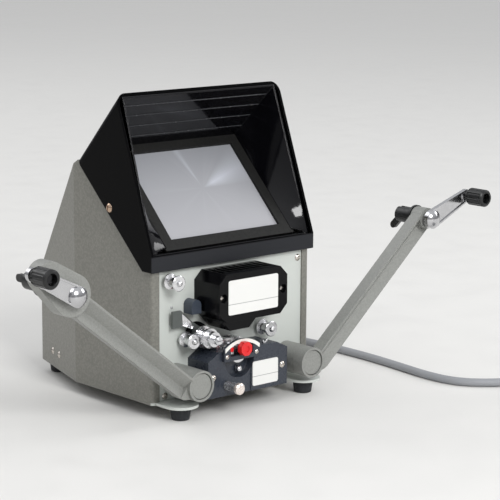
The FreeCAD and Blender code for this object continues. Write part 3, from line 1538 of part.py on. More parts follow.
def left_spindle_pinion():
    _, small, way = drive_train()
    x, z = arm_point(-1, *LEFT_SPINDLE)
    return gear(
        x,
        z,
        SPINDLE_TEETH,
        small,
        SPINDLE_SHAFT_R / 2,
        *gear_depth(),
        way + 180.0 + 180.0 / SPINDLE_TEETH,
    )


def spindle_place(side):
    return arm_point(side, *(LEFT_SPINDLE if side < 0 else RIGHT_HUB))


def reel_spindle(side):
    """The peg that takes a reel's hub: a flange, a round peg and a slot for its latch."""
    x, z = spindle_place(side)
    flange_front = SPINDLE_Y0 - SPINDLE_FLANGE
    body = rod(x, z, SPINDLE_FLANGE_R, flange_front, SPINDLE_Y0)
    peg = rod(x, z, SPINDLE_R, SPINDLE_Y0, SPINDLE_Y1)
    body = body.fuse(peg.makeChamfer(0.6, [e for e in peg.Edges if e.BoundBox.YMin > SPINDLE_Y1 - 0.01]))
    if side < 0:
        body = body.fuse(rod(x, z, SPINDLE_SHAFT_R, ARM_FRONT + 1.2, flange_front))
        body = body.fuse(left_spindle_pinion())
    wide = LATCH_THICK / 2 + LOOSE_GAP / 2
    slot_end = SPINDLE_Y1 - LATCH_PIN_INSET - LATCH_WIDE / 2 - LOOSE_GAP
    body = body.cut(
        block(x - wide, x + wide, slot_end, SPINDLE_Y1 + 1, z - SPINDLE_R - 1, z + SPINDLE_R + 1)
    )
    pin_reach = math.sqrt(SPINDLE_R ** 2 - LATCH_PIN_R ** 2) - SEAT_GAP
    pin = Part.makeCylinder(
        LATCH_PIN_R, 2 * pin_reach, Vector(
            x - pin_reach, SPINDLE_Y1 - LATCH_PIN_INSET, z
        ), Vector(1, 0, 0)
    )
    return body.fuse(pin).removeSplitter()


def latch(side, fold):
    """The folding latch in the end of a spindle, turned down from straight by its rest angle."""
    x, z = spindle_place(side)
    pivot_y = SPINDLE_Y1 - LATCH_PIN_INSET
    half = LATCH_WIDE / 2
    tip = SPINDLE_Y1 + LATCH_OUT
    body = block(x - LATCH_THICK / 2, x + LATCH_THICK / 2, pivot_y, tip - half, z - half, z + half)
    ends = [pivot_y, tip - half]
    for y in ends:
        body = body.fuse(
            Part.makeCylinder(half, LATCH_THICK, Vector(x - LATCH_THICK / 2, y, z), Vector(1, 0, 0))
        )
    bore = Part.makeCylinder(
        LATCH_PIN_R + RUNNING_GAP, LATCH_THICK + 2, Vector(x - LATCH_THICK, pivot_y, z), Vector(1, 0, 0)
    )
    body = body.cut(bore).removeSplitter()
    body.rotate(Vector(x, pivot_y, z), Vector(1, 0, 0), -fold)
    return body


def bend(start, corner, end):
    """An arc that leaves start and reaches end along the two equal sides of a corner."""
    middle = (start + end) * 0.5
    side = (corner - start).Length
    half = math.acos(min(1.0, (middle - start).Length / side))
    radius = side / math.tan(half)
    inward = (middle - corner).normalize()
    return Part.Arc(start, corner + inward * (radius / math.cos(half) - radius), end).toShape()


def tube(edges, start, way):
    """A round cord along a path of straight and arc edges."""
    section = Part.Wire(Part.makeCircle(CORD_R, start, way))
    return Part.Wire(edges).makePipeShell([section], True, False)


def lead_path():
    """Straight runs joined by tangent arcs, as large as their runs allow."""
    points = [Vector(*p) for p in CORD_ROUTE]
    edges = []
    radii = []
    at = points[0]
    for i in range(1, len(points) - 1):
        before = points[i - 1] - points[i]
        after = points[i + 1] - points[i]
        reach = ARC_SHARE * min(before.Length, after.Length)
        turn = math.pi - before.getAngle(after)
        radii.append(reach / math.tan(turn / 2))
        start = points[i] + before.normalize() * reach
        end = points[i] + after.normalize() * reach
        edges.append(Part.LineSegment(at, start).toShape())
        edges.append(bend(start, points[i], end))
        at = end
    edges.append(Part.LineSegment(at, points[-1]).toShape())
    print("cord bend radii", [round(r, 1) for r in radii])
    return edges


def cord_lead():
    edges = lead_path()
    start = Vector(*CORD_ROUTE[0])
    lead = tube(edges, start, Vector(*CORD_ROUTE[1]) - start)
    long = sum(e.Length for e in edges)
    print(
        "cord lead",
        round(long, 1),
        "mm, volume share",
        round(lead.Volume / (math.pi * CORD_R ** 2 * long), 4),
    )
    return lead


def coil_path():
    """Half turns that spiral in on the table, climb one layer and spiral out again."""
    layer_turns = int(2 * COIL_TURNS)
    step = COIL_PITCH / 2
    outer = COIL_MEAN_R + step * (layer_turns - 1) / 2 + step / 2
    at = Vector(*CORD_ROUTE[-1])
    way = Vector(1, 0, 0)
    edges = [Part.LineSegment(at, at + way * 2 * CORD_R).toShape()]
    at = at + way * 2 * CORD_R
    radii = [outer - step * i for i in range(layer_turns)]
    climb = [outer - step * layer_turns]
    for radius, rise in [
        (r, 0.0) for r in radii
    ] + [(r, COIL_LAYER) for r in climb] + [(r, 0.0) for r in reversed(radii)]:
        inward = Vector(way.y, -way.x, 0)
        far = at + inward * 2 * radius + Vector(0, 0, rise)
        reach = (far - at).Length / 2
        near_corner = at + way * reach
        far_corner = far + way * reach
        joint = (near_corner + far_corner) * 0.5
        edges.append(bend(at, near_corner, joint))
        edges.append(bend(joint, far_corner, far))
        at = far
        way = way * -1.0
    edges.append(Part.LineSegment(at, at + way * 2 * CORD_R).toShape())
    return edges, at + way * 2 * CORD_R


def least_gap(edges):
    """The least distance between the cord's turns, measured on points along its path."""
    spacing = CORD_R
    points = []
    for edge in edges:
        count = max(2, int(edge.Length / spacing))
        points += [edge.valueAt(
            edge.FirstParameter + (edge.LastParameter - edge.FirstParameter) * i / count
        ) for i in range(count)]
    skip = int(6 * CORD_R / spacing) + 6
    least = 1e9
    for i in range(len(points)):
        for j in range(i + skip, len(points)):
            least = min(least, (points[i] - points[j]).Length)
    return least - 2 * CORD_R


def cord_coil():
    edges, end = coil_path()
    start = Vector(*CORD_ROUTE[-1])
    coil = tube(edges, start, Vector(1, 0, 0))
    long = sum(e.Length for e in edges)
    print(
        "cord coil",
        round(long, 1),
        "mm, volume share",
        round(coil.Volume / (math.pi * CORD_R ** 2 * long), 4),
    )
    print("least gap between turns", round(least_gap(edges), 2))
    print("coil end", end)
    return coil


def cord_grommet():
    """The strain relief in the rear wall: inner and outer collars and a tapered tail."""
    x, z = CORD_EXIT
    inside = CASE_DEPTH - SHEET
    return turned_bar(
        x,
        z,
        (
            (inside - 2.0, GROMMET_NECK_R + 1.6),
            (inside, GROMMET_NECK_R + 1.6),
            (inside, GROMMET_NECK_R),
            (CASE_DEPTH, GROMMET_NECK_R),
            (CASE_DEPTH, GROMMET_NECK_R + 1.8),
            (CASE_DEPTH + 2.2, GROMMET_NECK_R + 1.4),
            (CASE_DEPTH + 2.2, GROMMET_NECK_R + 0.4),
            (CORD_ROUTE[0][1], CORD_R + 0.6),
        ),
    )


def plug_body():
    """A flat moulded plug at the cord's far end, lying on its side."""
    end = coil_path()[1]
    x1 = end.x
    neck = x1 - PLUG_NECK
    x0 = neck - PLUG_LONG
    tail = Part.makeCone(CORD_R + 0.6, CORD_R + 2.0, PLUG_NECK + 2.0, end, Vector(-1, 0, 0))
    high = 2 * end.z
    low = 0.0
    body = plate(
        "z",
        (
            (neck, end.y - PLUG_HALF_WIDE * 0.55),
            (neck, end.y + PLUG_HALF_WIDE * 0.55),
            (x0 + PLUG_LONG * 0.45, end.y + PLUG_HALF_WIDE),
            (x0, end.y + PLUG_HALF_WIDE),
            (x0, end.y - PLUG_HALF_WIDE),
            (x0 + PLUG_LONG * 0.45, end.y - PLUG_HALF_WIDE),
        ),
        low,
        high,
        (3.0, 3.0, 6.0, 1.5, 1.5, 6.0),
    )
    return body.fuse(tail).removeSplitter()


def plug_blades():
    end = coil_path()[1]
    x1 = end.x - PLUG_NECK - PLUG_LONG
    blades = []
    for side in (-1, 1):
        y = end.y + side * BLADE_APART / 2
        blade = block(
            x1 - BLADE_LONG, x1, y - BLADE_THICK / 2, y + BLADE_THICK / 2, end.z - 3.15, end.z + 3.15
        )
        tip = [e for e in blade.Edges if e.BoundBox.XMax < x1 - BLADE_LONG + 0.01 and e.BoundBox.YLength > 0.5]
        blades.append(blade.makeFillet(1.2, tip))
    return blades


def panel_screws():
    screws = [screw(x, PANEL_Y, z, PANEL_SCREW_R, BACK) for x, z in PANEL_SCREWS]
    for side in (-1, 1):
        screws += [screw(p.x, p.y, p.z, PANEL_SCREW_R, way) for p, way in side_screw_places(side)]
    return Part.makeCompound(screws)


def hood_screws():
    y, z = HOOD_SCREW
    return Part.makeCompound(
        [screw(s * HOOD_HALF, y, z, HOOD_SCREW_R, Vector(-s, 0, 0)) for s in (-1, 1)]
    )


def transformer_core():
    """Laminated iron with two windows, standing on the base plate."""
    x, y = CORE_AT
    wide, deep, tall = CORE_SIZE
    body = block(x - wide / 2, x + wide / 2, y - deep / 2, y + deep / 2, CASE_BOTTOM, CASE_BOTTOM + tall)
    limb = wide / 6
    for side in (-1, 1):
        middle = x + side * wide / 4
        body = body.cut(
            block(
                middle - limb / 2,
                middle + limb / 2,
                y - deep,
                y + deep,
                CASE_BOTTOM + limb,
                CASE_BOTTOM + tall - limb,
            )
        )
    return body


def transformer_coil():
    """The winding on the middle limb, as one former with a bore."""
    x, y = CORE_AT
    wide, deep, tall = CORE_SIZE
    limb = wide / 6
    low = CASE_BOTTOM + limb + SEAT_GAP
    high = CASE_BOTTOM + tall - limb - SEAT_GAP
    inner = wide / 4 - limb / 2
    outer = wide / 4 + limb / 2 - SEAT_GAP
    reach = deep / 2 + COIL_OVERHANG
    body = block(x - outer, x + outer, y - reach, y + reach, low, high)
    core = block(
        x - inner - SEAT_GAP,
        x + inner + SEAT_GAP,
        y - deep / 2 - SEAT_GAP,
        y + deep / 2 + SEAT_GAP,
        low - 1,
        high + 1,
    )
    return body.cut(core)


def terminal_block():
    """A strip of screw terminals beside the cord's entry."""
    wide = TERMINALS * TERMINAL_PITCH
    x0 = CORD_EXIT[0] - wide / 2 - TERMINAL_SHIFT
    y0 = TERMINAL_Y
    body = block(x0, x0 + wide, y0, y0 + 14.0, CASE_BOTTOM, CASE_BOTTOM + 9.0)
    for i in range(TERMINALS):
        x = x0 + (i + 0.5) * TERMINAL_PITCH
        body = body.cut(Part.makeCylinder(1.8, 5.0, Vector(x, y0 + 7.0, CASE_BOTTOM + 5.0)))
        body = body.cut(rod(x, CASE_BOTTOM + 3.5, 1.2, y0 - 1, y0 + 15.0))
    return body


def switch_frame():
    """The lamp switch's body and rim in the rear wall, open at its face for the rocker."""
    half = SWITCH_WIDE / 2
    tall = SWITCH_TALL / 2
    rim = SWITCH_RIM
    face = plate(
        "y",
        (
            (SWITCH_X - half, SWITCH_Z - tall),
            (SWITCH_X + half, SWITCH_Z - tall),
            (SWITCH_X + half, SWITCH_Z + tall),
            (SWITCH_X - half, SWITCH_Z + tall),
        ),
        CASE_DEPTH,
        CASE_DEPTH + rim,
        1.0,
    )
    body = block(
        SWITCH_X - half + rim, SWITCH_X + half - rim, CASE_DEPTH - SWITCH_DEEP, CASE_DEPTH, SWITCH_Z - tall + rim, SWITCH_Z + tall - rim
    )
    well = block(
        SWITCH_X - half + 2 * rim,
        SWITCH_X + half - 2 * rim,
        CASE_DEPTH - SWITCH_DEEP + rim,
        CASE_DEPTH + rim + 1,
        SWITCH_Z - tall + 2 * rim,
        SWITCH_Z + tall - 2 * rim,
    )
    pin = Part.makeCylinder(
        1.0, SWITCH_TALL - 3 * rim, Vector(SWITCH_X, rocker_y(), SWITCH_Z - (SWITCH_TALL - 3 * rim) / 2)
    )
    return face.fuse(body).cut(well).fuse(pin).removeSplitter()


def rocker_y():
    """The depth of the rocker's pin."""
    return CASE_DEPTH - 2.0


def switch_rocker():
    """The rocker on its pin, tipped to one side, with two slanted faces."""
    half = SWITCH_WIDE / 2 - 2 * SWITCH_RIM - 1.0
    tall = SWITCH_TALL / 2 - 2 * SWITCH_RIM - LOOSE_GAP
    top = CASE_DEPTH + SWITCH_RIM
    slope = half * math.tan(math.radians(ROCKER_SLOPE))
    body = plate(
        "z",
        (
            (-half, -2.0),
            (half, -2.0),
            (half, top - rocker_y() + slope - 1.0),
            (0.0, top - rocker_y() - 1.0),
            (-half, top - rocker_y() + slope - 1.0),
        ),
        -tall,
        tall,
        (1.5, 1.5, 0.4, 0.0, 0.4),
    )
    body = body.cut(Part.makeCylinder(1.0 + RUNNING_GAP, 20, Vector(0, 0, -10)))
    body.rotate(Vector(0, 0, 0), Vector(0, 0, 1), -ROCKER_SLOPE)
    body.translate(Vector(SWITCH_X, rocker_y(), SWITCH_Z))
    return body


PIECES = {
    "base_plate": base_plate,
    "rubber_feet": rubber_feet,
    "case_shell": case_shell,
    "front_panel": front_panel,
    "hood": hood,
    "hood_liner": hood_liner,
    "screen_bezel": screen_bezel,
    "screen_glass": screen_glass,
    "fresnel_lens": fresnel_lens,
    "rear_mirror": rear_mirror,
    "mirror_bracket": mirror_bracket,
    "transformer": lambda: Part.makeCompound([transformer_core(), transformer_coil()]),
    "terminal_block": terminal_block,
    "lamp_house": lamp_house,
    "label_plates": label_plates,
    "lamp_socket": lamp_socket,
    "lamp_bulb": lamp_bulb,
    "condenser_lens": condenser_lens,
    "gate_housing": gate_housing,
    "gate_plate": gate_plate,
    "gate_arc": gate_arc,
    "gate_ball": gate_ball,
    "film_shoe": film_shoe,
    "turning_mirror": turning_mirror,
    "lens_barrel": lens_barrel,
    "projection_lens": projection_lens,
    "roller_studs": roller_studs,
    "arm_pivots": arm_pivots,
    "panel_screws": panel_screws,
    "housing_screws": housing_screws,
    "hood_screws": hood_screws,
    "switch_frame": switch_frame,
    "switch_rocker": switch_rocker,
    "format_knob": format_knob,
    "focus_knob": focus_knob,
    "notcher_button": notcher_button,
    "framing_lever": framing_lever,
    "roller_upper": lambda: roller("upper"),
    "roller_left": lambda: roller("left"),
    "roller_right": lambda: roller("right"),
    "sprocket": sprocket,
    "sprocket_gear": sprocket_gear,
    "prism_shaft": prism_shaft,
    "optical_prism": optical_prism,
    "left_arm": left_arm,
    "left_gear_cover": left_gear_cover,
    "left_crank": lambda: crank(-1, GEAR_CASE_BACK - LOOSE_GAP),
    "left_crank_gear": left_crank_gear,
    "left_crank_grip": lambda: crank_grip(-1),
    "left_spindle": lambda: reel_spindle(-1),
    "left_latch": lambda: latch(-1, 0.0),
    "right_arm": right_arm,
    "right_crank": lambda: crank(1, SPINDLE_Y0 - SPINDLE_FLANGE),
    "right_crank_grip": lambda: crank_grip(1),
    "right_spindle": lambda: reel_spindle(1),
    "right_latch": lambda: latch(1, RIGHT_LATCH_FOLD),
    "cord_grommet": cord_grommet,
    "cord_lead": cord_lead,
    "cord_coil": cord_coil,
    "plug": lambda: Part.makeCompound([plug_body()] + plug_blades()),
}


def build():
    os.makedirs("parts", exist_ok=True)
    for name, make in PIECES.items():
        shape = make()
        shape.translate(Vector(-BOX_MIDDLE_X, -BOX_MIDDLE_Y, 0))
        shape.exportStep("parts/" + name + ".step")
        box = shape.BoundBox
        print(
            name,
            len(shape.Solids),
            shape.isValid(),
            round(shape.Volume),
            [round(v, 1) for v in (box.XMin, box.XMax, box.YMin, box.YMax, box.ZMin, box.ZMax)],
        )


build()
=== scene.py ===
"""Table-top 8 mm film viewer: finishes, small details, cord, floor, light and camera."""

import math

import bmesh
import bpy
from mathutils import Matrix, Vector


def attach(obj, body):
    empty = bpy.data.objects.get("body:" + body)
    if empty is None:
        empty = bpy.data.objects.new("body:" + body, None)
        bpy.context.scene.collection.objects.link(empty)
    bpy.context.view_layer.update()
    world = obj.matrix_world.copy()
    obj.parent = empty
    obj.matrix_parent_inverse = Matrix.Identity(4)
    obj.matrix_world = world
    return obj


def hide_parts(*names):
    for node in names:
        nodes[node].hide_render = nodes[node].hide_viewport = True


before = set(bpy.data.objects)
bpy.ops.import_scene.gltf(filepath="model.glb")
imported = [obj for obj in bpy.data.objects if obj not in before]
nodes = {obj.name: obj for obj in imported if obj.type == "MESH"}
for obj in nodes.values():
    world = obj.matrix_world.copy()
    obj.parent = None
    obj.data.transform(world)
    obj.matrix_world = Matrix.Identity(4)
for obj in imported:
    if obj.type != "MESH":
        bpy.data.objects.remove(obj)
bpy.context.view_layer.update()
scene = bpy.context.scene

MM = 0.001
CASE_SHIFT = Vector((-0.0050, -0.0546, 0.0))


def at(x, y, z):
    """A point given in the case's own millimetres, from the front panel's middle at the floor."""
    return Vector((x, y, z)) * MM + CASE_SHIFT


def srgb(red, green, blue):
    """A colour given as it looks on a screen, 0 to 255, turned into light."""
    parts = []
    for value in (red, green, blue):
        v = value / 255
        parts.append(v / 12.92 if v <= 0.04045 else ((v + 0.055) / 1.055) ** 2.4)
    return tuple(parts)


# Finishes

# Where a finish, a painted shade and a painted reflection change on one piece, along depth or height
GRIP_PIN_START = at(0, -42.0, 0).y
KNOB_SPINDLE_START = at(0, -24.6, 0).y
NOTCHER_HEAD_BACK = at(0, -31.4, 0).y
EARS_END = at(0, 1.5, 0).y
# The hood lip's front face and top, which bound its painted reflection
LIP_FACE = at(0, -2.4, 0).y
LIP_TOP = at(0, 0, 113.0).z
SCREEN_SLOPE = math.radians(45.2)
SCREEN_COS = math.cos(SCREEN_SLOPE)
SCREEN_SIN = math.sin(SCREEN_SLOPE)
SCREEN_HUB = (-0.0017, 0.0931)
SCREEN_LOW = -0.040
SCREEN_HIGH = 0.045
# Painted light on the screen: a bright wedge and a narrow ray, as angles about the hub
WEDGE_ANGLE = 0.34
WEDGE_HALF = 0.34
RAY_ANGLE = 1.72
RAY_HALF = 0.12
SHORT_BLEND = 0.2 * MM
LABEL_LINES = (78.2, 22.4)
LINE_CORE = 0.18
LINE_EDGE = 0.26
PALE_TONE = (199, 203, 198)
CASE_RIM_TONE = (122, 121, 115)


class Finish:
    """A material and its node tree, with sizes in millimetres on the object itself."""

    def __init__(self, name):
        self.material = bpy.data.materials.new(name)
        self.material.use_nodes = True
        self.tree = self.material.node_tree
        self.shader = self.tree.nodes["Principled BSDF"]
        self.place = self.add("ShaderNodeTexCoord").outputs["Object"]

    def add(self, kind, **settings):
        node = self.tree.nodes.new(kind)
        for key, value in settings.items():
            setattr(node, key, value)
        return node

    def feed(self, socket, value):
        if isinstance(value, bpy.types.NodeSocket):
            self.tree.links.new(value, socket)
        else:
            socket.default_value = value

    def fix(self, **values):
        """Plain values set on the shader's own sockets."""
        for key, value in values.items():
            self.shader.inputs[key.replace("_", " ")].default_value = value

    def noise(self, size, detail=2.0, rough=0.5, place=None):
        node = self.add("ShaderNodeTexNoise")
        node.inputs["Scale"].default_value = 1 / (size * MM)
        node.inputs["Detail"].default_value = detail
        node.inputs["Roughness"].default_value = rough
        self.feed(node.inputs["Vector"], place or self.place)
        return node.outputs["Fac"]

    def cells(self, size):
        node = self.add("ShaderNodeTexVoronoi", feature="SMOOTH_F1")
        node.inputs["Scale"].default_value = 1 / (size * MM)
        self.feed(node.inputs["Vector"], self.place)
        return node.outputs["Distance"]

    def math(self, operation, one, two=0.0, three=0.0):
        node = self.add("ShaderNodeMath", operation=operation)
        for socket, value in zip(node.inputs, (one, two, three)):
            self.feed(socket, value)
        return node.outputs[0]

    def span(self, value, low, high, start=0.0, end=1.0):
        """The value from start to end, spread from low to high."""
        node = self.add("ShaderNodeMapRange")
        self.feed(node.inputs["Value"], value)
        node.inputs["From Min"].default_value = start
        node.inputs["From Max"].default_value = end
        self.feed(node.inputs["To Min"], low)
        self.feed(node.inputs["To Max"], high)
        return node.outputs["Result"]

    def mix(self, share, one, two):
        node = self.add("ShaderNodeMix", data_type="RGBA")
        self.feed(node.inputs["Factor"], share)
        for socket, value in zip((node.inputs[6], node.inputs[7]), (one, two)):
            self.feed(socket, (*value, 1.0) if isinstance(value, tuple) else value)
        return node.outputs[2]

    def axes(self):
        node = self.add("ShaderNodeSeparateXYZ")
        self.feed(node.inputs["Vector"], self.place)
        return node.outputs

    def rounded(self, radius):
        """The surface's direction with its sharp edges softened."""
        node = self.add("ShaderNodeBevel", samples=4)
        node.inputs["Radius"].default_value = radius * MM
        return node.outputs["Normal"]

    def bump(self, height, depth, normal):
        node = self.add("ShaderNodeBump")
        node.inputs["Distance"].default_value = depth * MM
        self.feed(node.inputs["Height"], height)
        self.feed(node.inputs["Normal"], normal)
        return node.outputs["Normal"]

    def colour(self, value):
        self.feed(self.shader.inputs["Base Color"], value)

    def repaint(self, share, colour):
        """Mixes another colour over what the base colour already is."""
        before = self.shader.inputs["Base Color"].links[0].from_socket
        self.colour(self.mix(share, before, srgb(*colour)))

    def rough(self, value):
        self.feed(self.shader.inputs["Roughness"], value)

    def normal(self, value):
        self.feed(self.shader.inputs["Normal"], value)


def tinted(colour, by):
    return tuple(min(1.0, part * by) for part in colour)


def plain(name, colour, rough, metal=0.0, swing=0.06, patch=20.0, edge=0.3, grain=()):
    """A smooth finish whose tone and gloss wander a little, with layers of fine grain."""
    f = Finish(name)
    base = srgb(*colour)
    f.colour(f.mix(f.noise(patch, 3.0), tinted(base, 1 - swing), tinted(base, 1 + swing)))
    f.rough(f.span(f.noise(patch / 8, 3.0), rough * 0.8, rough * 1.25, 0.3, 0.7))
    f.fix(Metallic=metal)
    normal = f.rounded(edge)
    for size, depth in grain:
        normal = f.bump(f.noise(size, 2.0), depth, normal)
    f.normal(normal)
    return f


HAMMER_ROUGH = 0.42
HAMMER_METAL = 0.15


def hammered(name, colour, cell, depth, contrast=0.22):
    """Hammertone enamel: soft dimples with a paler bloom on each and a fine speckle."""
    f = Finish(name)
    base = srgb(*colour)
    dimple = f.cells(cell)
    speckle = f.noise(cell * 0.35, 3.0, 0.7)
    paler = tinted(base, 1 + contrast)
    darker = tinted(base, 1 - contrast)
    bloom = f.mix(f.span(dimple, 0.0, 1.0, 0.1, 0.6), paler, darker)
    fleck = f.mix(f.span(speckle, 0.0, 1.0, 0.42, 0.7), darker, paler)
    f.colour(f.mix(0.5, bloom, fleck))
    f.rough(f.span(speckle, HAMMER_ROUGH * 0.75, HAMMER_ROUGH * 1.3, 0.3, 0.7))
    f.fix(Metallic=HAMMER_METAL)
    normal = f.bump(dimple, depth, f.rounded(0.4))
    f.normal(f.bump(speckle, depth * 0.4, normal))
    return f


def bright(name, colour=(226, 226, 228), rough=0.1, edge=0.12):
    """Chromium plate with faint wipe marks and a slightly uneven shine."""
    f = Finish(name)
    base = srgb(*colour)
    cloud = f.noise(12.0, 3.0)
    f.colour(f.mix(cloud, tinted(base, 0.92), tinted(base, 1.04)))
    f.rough(f.span(f.noise(4.0, 4.0, 0.6), rough * 0.7, rough * 1.5, 0.3, 0.7))
    f.fix(Metallic=1.0)
    f.normal(f.rounded(edge))
    return f


def gloss_black(name, colour, rough, shine):
    """Black enamel with a deep, slightly wavy gloss."""
    f = plain(name, colour, rough, swing=0.25, patch=30.0, edge=0.6, grain=((9.0, 0.02),))
    f.fix(Specular_IOR_Level=shine)
    return f


def crank_metal():
    """Brushed plate on the crank, with painted shade making the pin that sits within the grip darker."""
    f = bright("lever_chrome", (196, 196, 198), 0.16)
    painted_bore_shade = f.span(f.axes()[1], 1.0, 0.0, GRIP_PIN_START - MM, GRIP_PIN_START)
    # Painted shade: the pin deep in the grip's bore is darkened for the shade there.
    f.repaint(painted_bore_shade, (52, 52, 54))
    return f


def hood_enamel():
    """Deep black gloss, with a painted reflection making the flat lip under the mouth paler."""
    f = gloss_black("hood_gloss", (4, 4, 5), 0.14, 0.05)
    depth, height = f.axes()[1:]
    front = f.span(depth, 1.0, 0.0, LIP_FACE, LIP_FACE + MM)
    low = f.span(height, 1.0, 0.0, LIP_TOP, LIP_TOP + MM)
    # Painted reflection: the lip's front face is lightened for the sheen it catches.
    f.repaint(f.math("MULTIPLY", front, low), (46, 47, 50))
    return f


def label_sheet():
    """Pale enamelled sheet with one fine line across each plate."""
    f = plain("label_enamel", (226, 226, 223), 0.4, swing=0.02, edge=0.2)
    height = f.axes()[2]
    gaps = [f.math("ABSOLUTE", f.math("SUBTRACT", height, line * MM)) for line in LABEL_LINES]
    ink = f.span(f.math("MINIMUM", *gaps), 1.0, 0.0, LINE_CORE * MM, LINE_EDGE * MM)
    f.repaint(ink, (150, 150, 150))
    return f


def pale_enamel(name):
    return plain(name, PALE_TONE, 0.38, swing=0.03, patch=35.0, grain=((0.9, 0.006),))


def base_enamel():
    """The panel's pale enamel on the front ears, and the case's grey along the sides and rear."""
    f = pale_enamel("base_enamel")
    behind = f.span(f.axes()[1], 0.0, 1.0, EARS_END, EARS_END + MM)
    f.repaint(behind, CASE_RIM_TONE)
    return f


def put(finish, *names):
    """The finish on every slot of the named CAD nodes."""
    for name in names:
        slots = nodes[name].data.materials
        slots.clear()
        slots.append(finish.material)


SHELL = hammered("shell_hammertone", (132, 131, 124), 1.5, 0.10)
ARM = hammered("arm_hammertone", (144, 145, 141), 1.1, 0.05, contrast=0.14)
ENAMEL = pale_enamel("pale_enamel")
HOOD = hood_enamel()
LINER = gloss_black("liner_gloss", (8, 8, 11), 0.09, 0.38)
# Painted highlight: the ribs are a paler grey than the liner's black, for the glint along each one.
RIB = plain("rib_grey_painted_glint", (44, 45, 48), 0.24, swing=0.1, grain=((0.6, 0.008),))
BEZEL = plain("bezel_matte", (24, 24, 23), 0.5, swing=0.08, grain=((0.35, 0.012),))
BEZEL.fix(Specular_IOR_Level=0.25)
LAMP = gloss_black("lamp_house_black", (6, 6, 8), 0.2, 0.16)
GATE = gloss_black("gate_black", (48, 53, 62), 0.28, 0.5)
CHROME = bright("bright_chrome", rough=0.22)
POLISH = crank_metal()
SCREW = bright("screw_chrome", (206, 200, 192), 0.18)
COPPER = bright("hood_screw", (196, 170, 148), 0.22)
STEEL = plain("plain_steel", (150, 152, 154), 0.38, 1.0, grain=((0.3, 0.01),))
BRASS = plain("turned_brass", (196, 164, 96), 0.3, 1.0, grain=((0.3, 0.008),))
IRON = plain("laminated_iron", (74, 74, 78), 0.55, 0.6, grain=((0.4, 0.02),))
RUBBER = plain("foot_rubber", (28, 30, 34), 0.62, swing=0.15, edge=0.5, grain=((0.4, 0.02),))
GRIP = plain("grip_black", (20, 21, 22), 0.36, swing=0.2, edge=0.35, grain=((0.5, 0.01),))
SPINDLE = plain("spindle_black", (26, 27, 28), 0.36, swing=0.2, edge=0.35, grain=((0.5, 0.01),))


def knob_red():
    """Red plastic in front, with the plain steel of its spindle behind."""
    f = Finish("red_plastic")
    behind = f.span(f.axes()[1], 0.0, 1.0, KNOB_SPINDLE_START, KNOB_SPINDLE_START + SHORT_BLEND)
    cloud = f.noise(6.0, 3.0)
    red = f.mix(cloud, srgb(205, 26, 30), srgb(228, 38, 40))
    f.colour(f.mix(behind, red, f.mix(cloud, srgb(150, 151, 153), srgb(176, 177, 179))))
    f.feed(f.shader.inputs["Metallic"], behind)
    f.rough(f.span(f.noise(0.8, 2.0), 0.24, 0.36))
    f.normal(f.bump(f.noise(0.5, 2.0), 0.008, f.rounded(0.3)))
    return f


RED = knob_red()
MARK = plain("mark_red", (222, 28, 32), 0.3, swing=0.08, edge=0.2, grain=((0.5, 0.008),))
SLATE = plain("slate_plastic", (58, 65, 76), 0.36, swing=0.08, edge=0.4, grain=((0.5, 0.01),))
SWITCH = plain("switch_black", (24, 24, 25), 0.34, swing=0.15, grain=((0.6, 0.01),))
# Painted reflection: the lever is chrome, and this grey stands in for the dark reflection its tab shows.
LEVER = plain("lever_grey", (92, 96, 94), 0.4, 0.3, swing=0.08, grain=((0.5, 0.006),))
WHITE = plain("white_strip", (232, 232, 226), 0.3, swing=0.02)
PALE = plain("terminal_cream", (206, 198, 176), 0.45)
CORD = plain("cord_grey", (148, 150, 154), 0.5, swing=0.05, edge=0.3, grain=((0.8, 0.02),))
LABEL = label_sheet()
MIRROR = bright("mirror", (236, 238, 240), 0.02)


def clear_glass():
    f = plain("clear_glass", (240, 242, 244), 0.05, swing=0.02)
    f.fix(Transmission_Weight=1.0, IOR=1.49)
    return f


RING_PITCH = 1.6


def notcher_metal():
    """Ringed grey stem with a pale polished head."""
    f = Finish("notcher_metal")
    depth = f.axes()[1]
    head = f.span(depth, 1.0, 0.0, NOTCHER_HEAD_BACK - SHORT_BLEND, NOTCHER_HEAD_BACK + SHORT_BLEND)
    cloud = f.noise(3.0)
    stem = f.mix(cloud, srgb(150, 152, 158), srgb(186, 188, 192))
    f.colour(f.mix(head, stem, f.mix(cloud, srgb(240, 228, 220), srgb(248, 238, 231))))
    f.rough(f.span(f.noise(1.5, 3.0), 0.2, 0.36))
    f.fix(Metallic=0.75)
    ring = f.math("PINGPONG", f.math("MULTIPLY", depth, 1 / MM), RING_PITCH / 2)
    f.normal(f.bump(f.math("MULTIPLY", ring, f.span(head, 1.0, 0.0)), 0.5, f.rounded(0.3)))
    return f


NOTCHER = notcher_metal()
CLEAR = clear_glass()


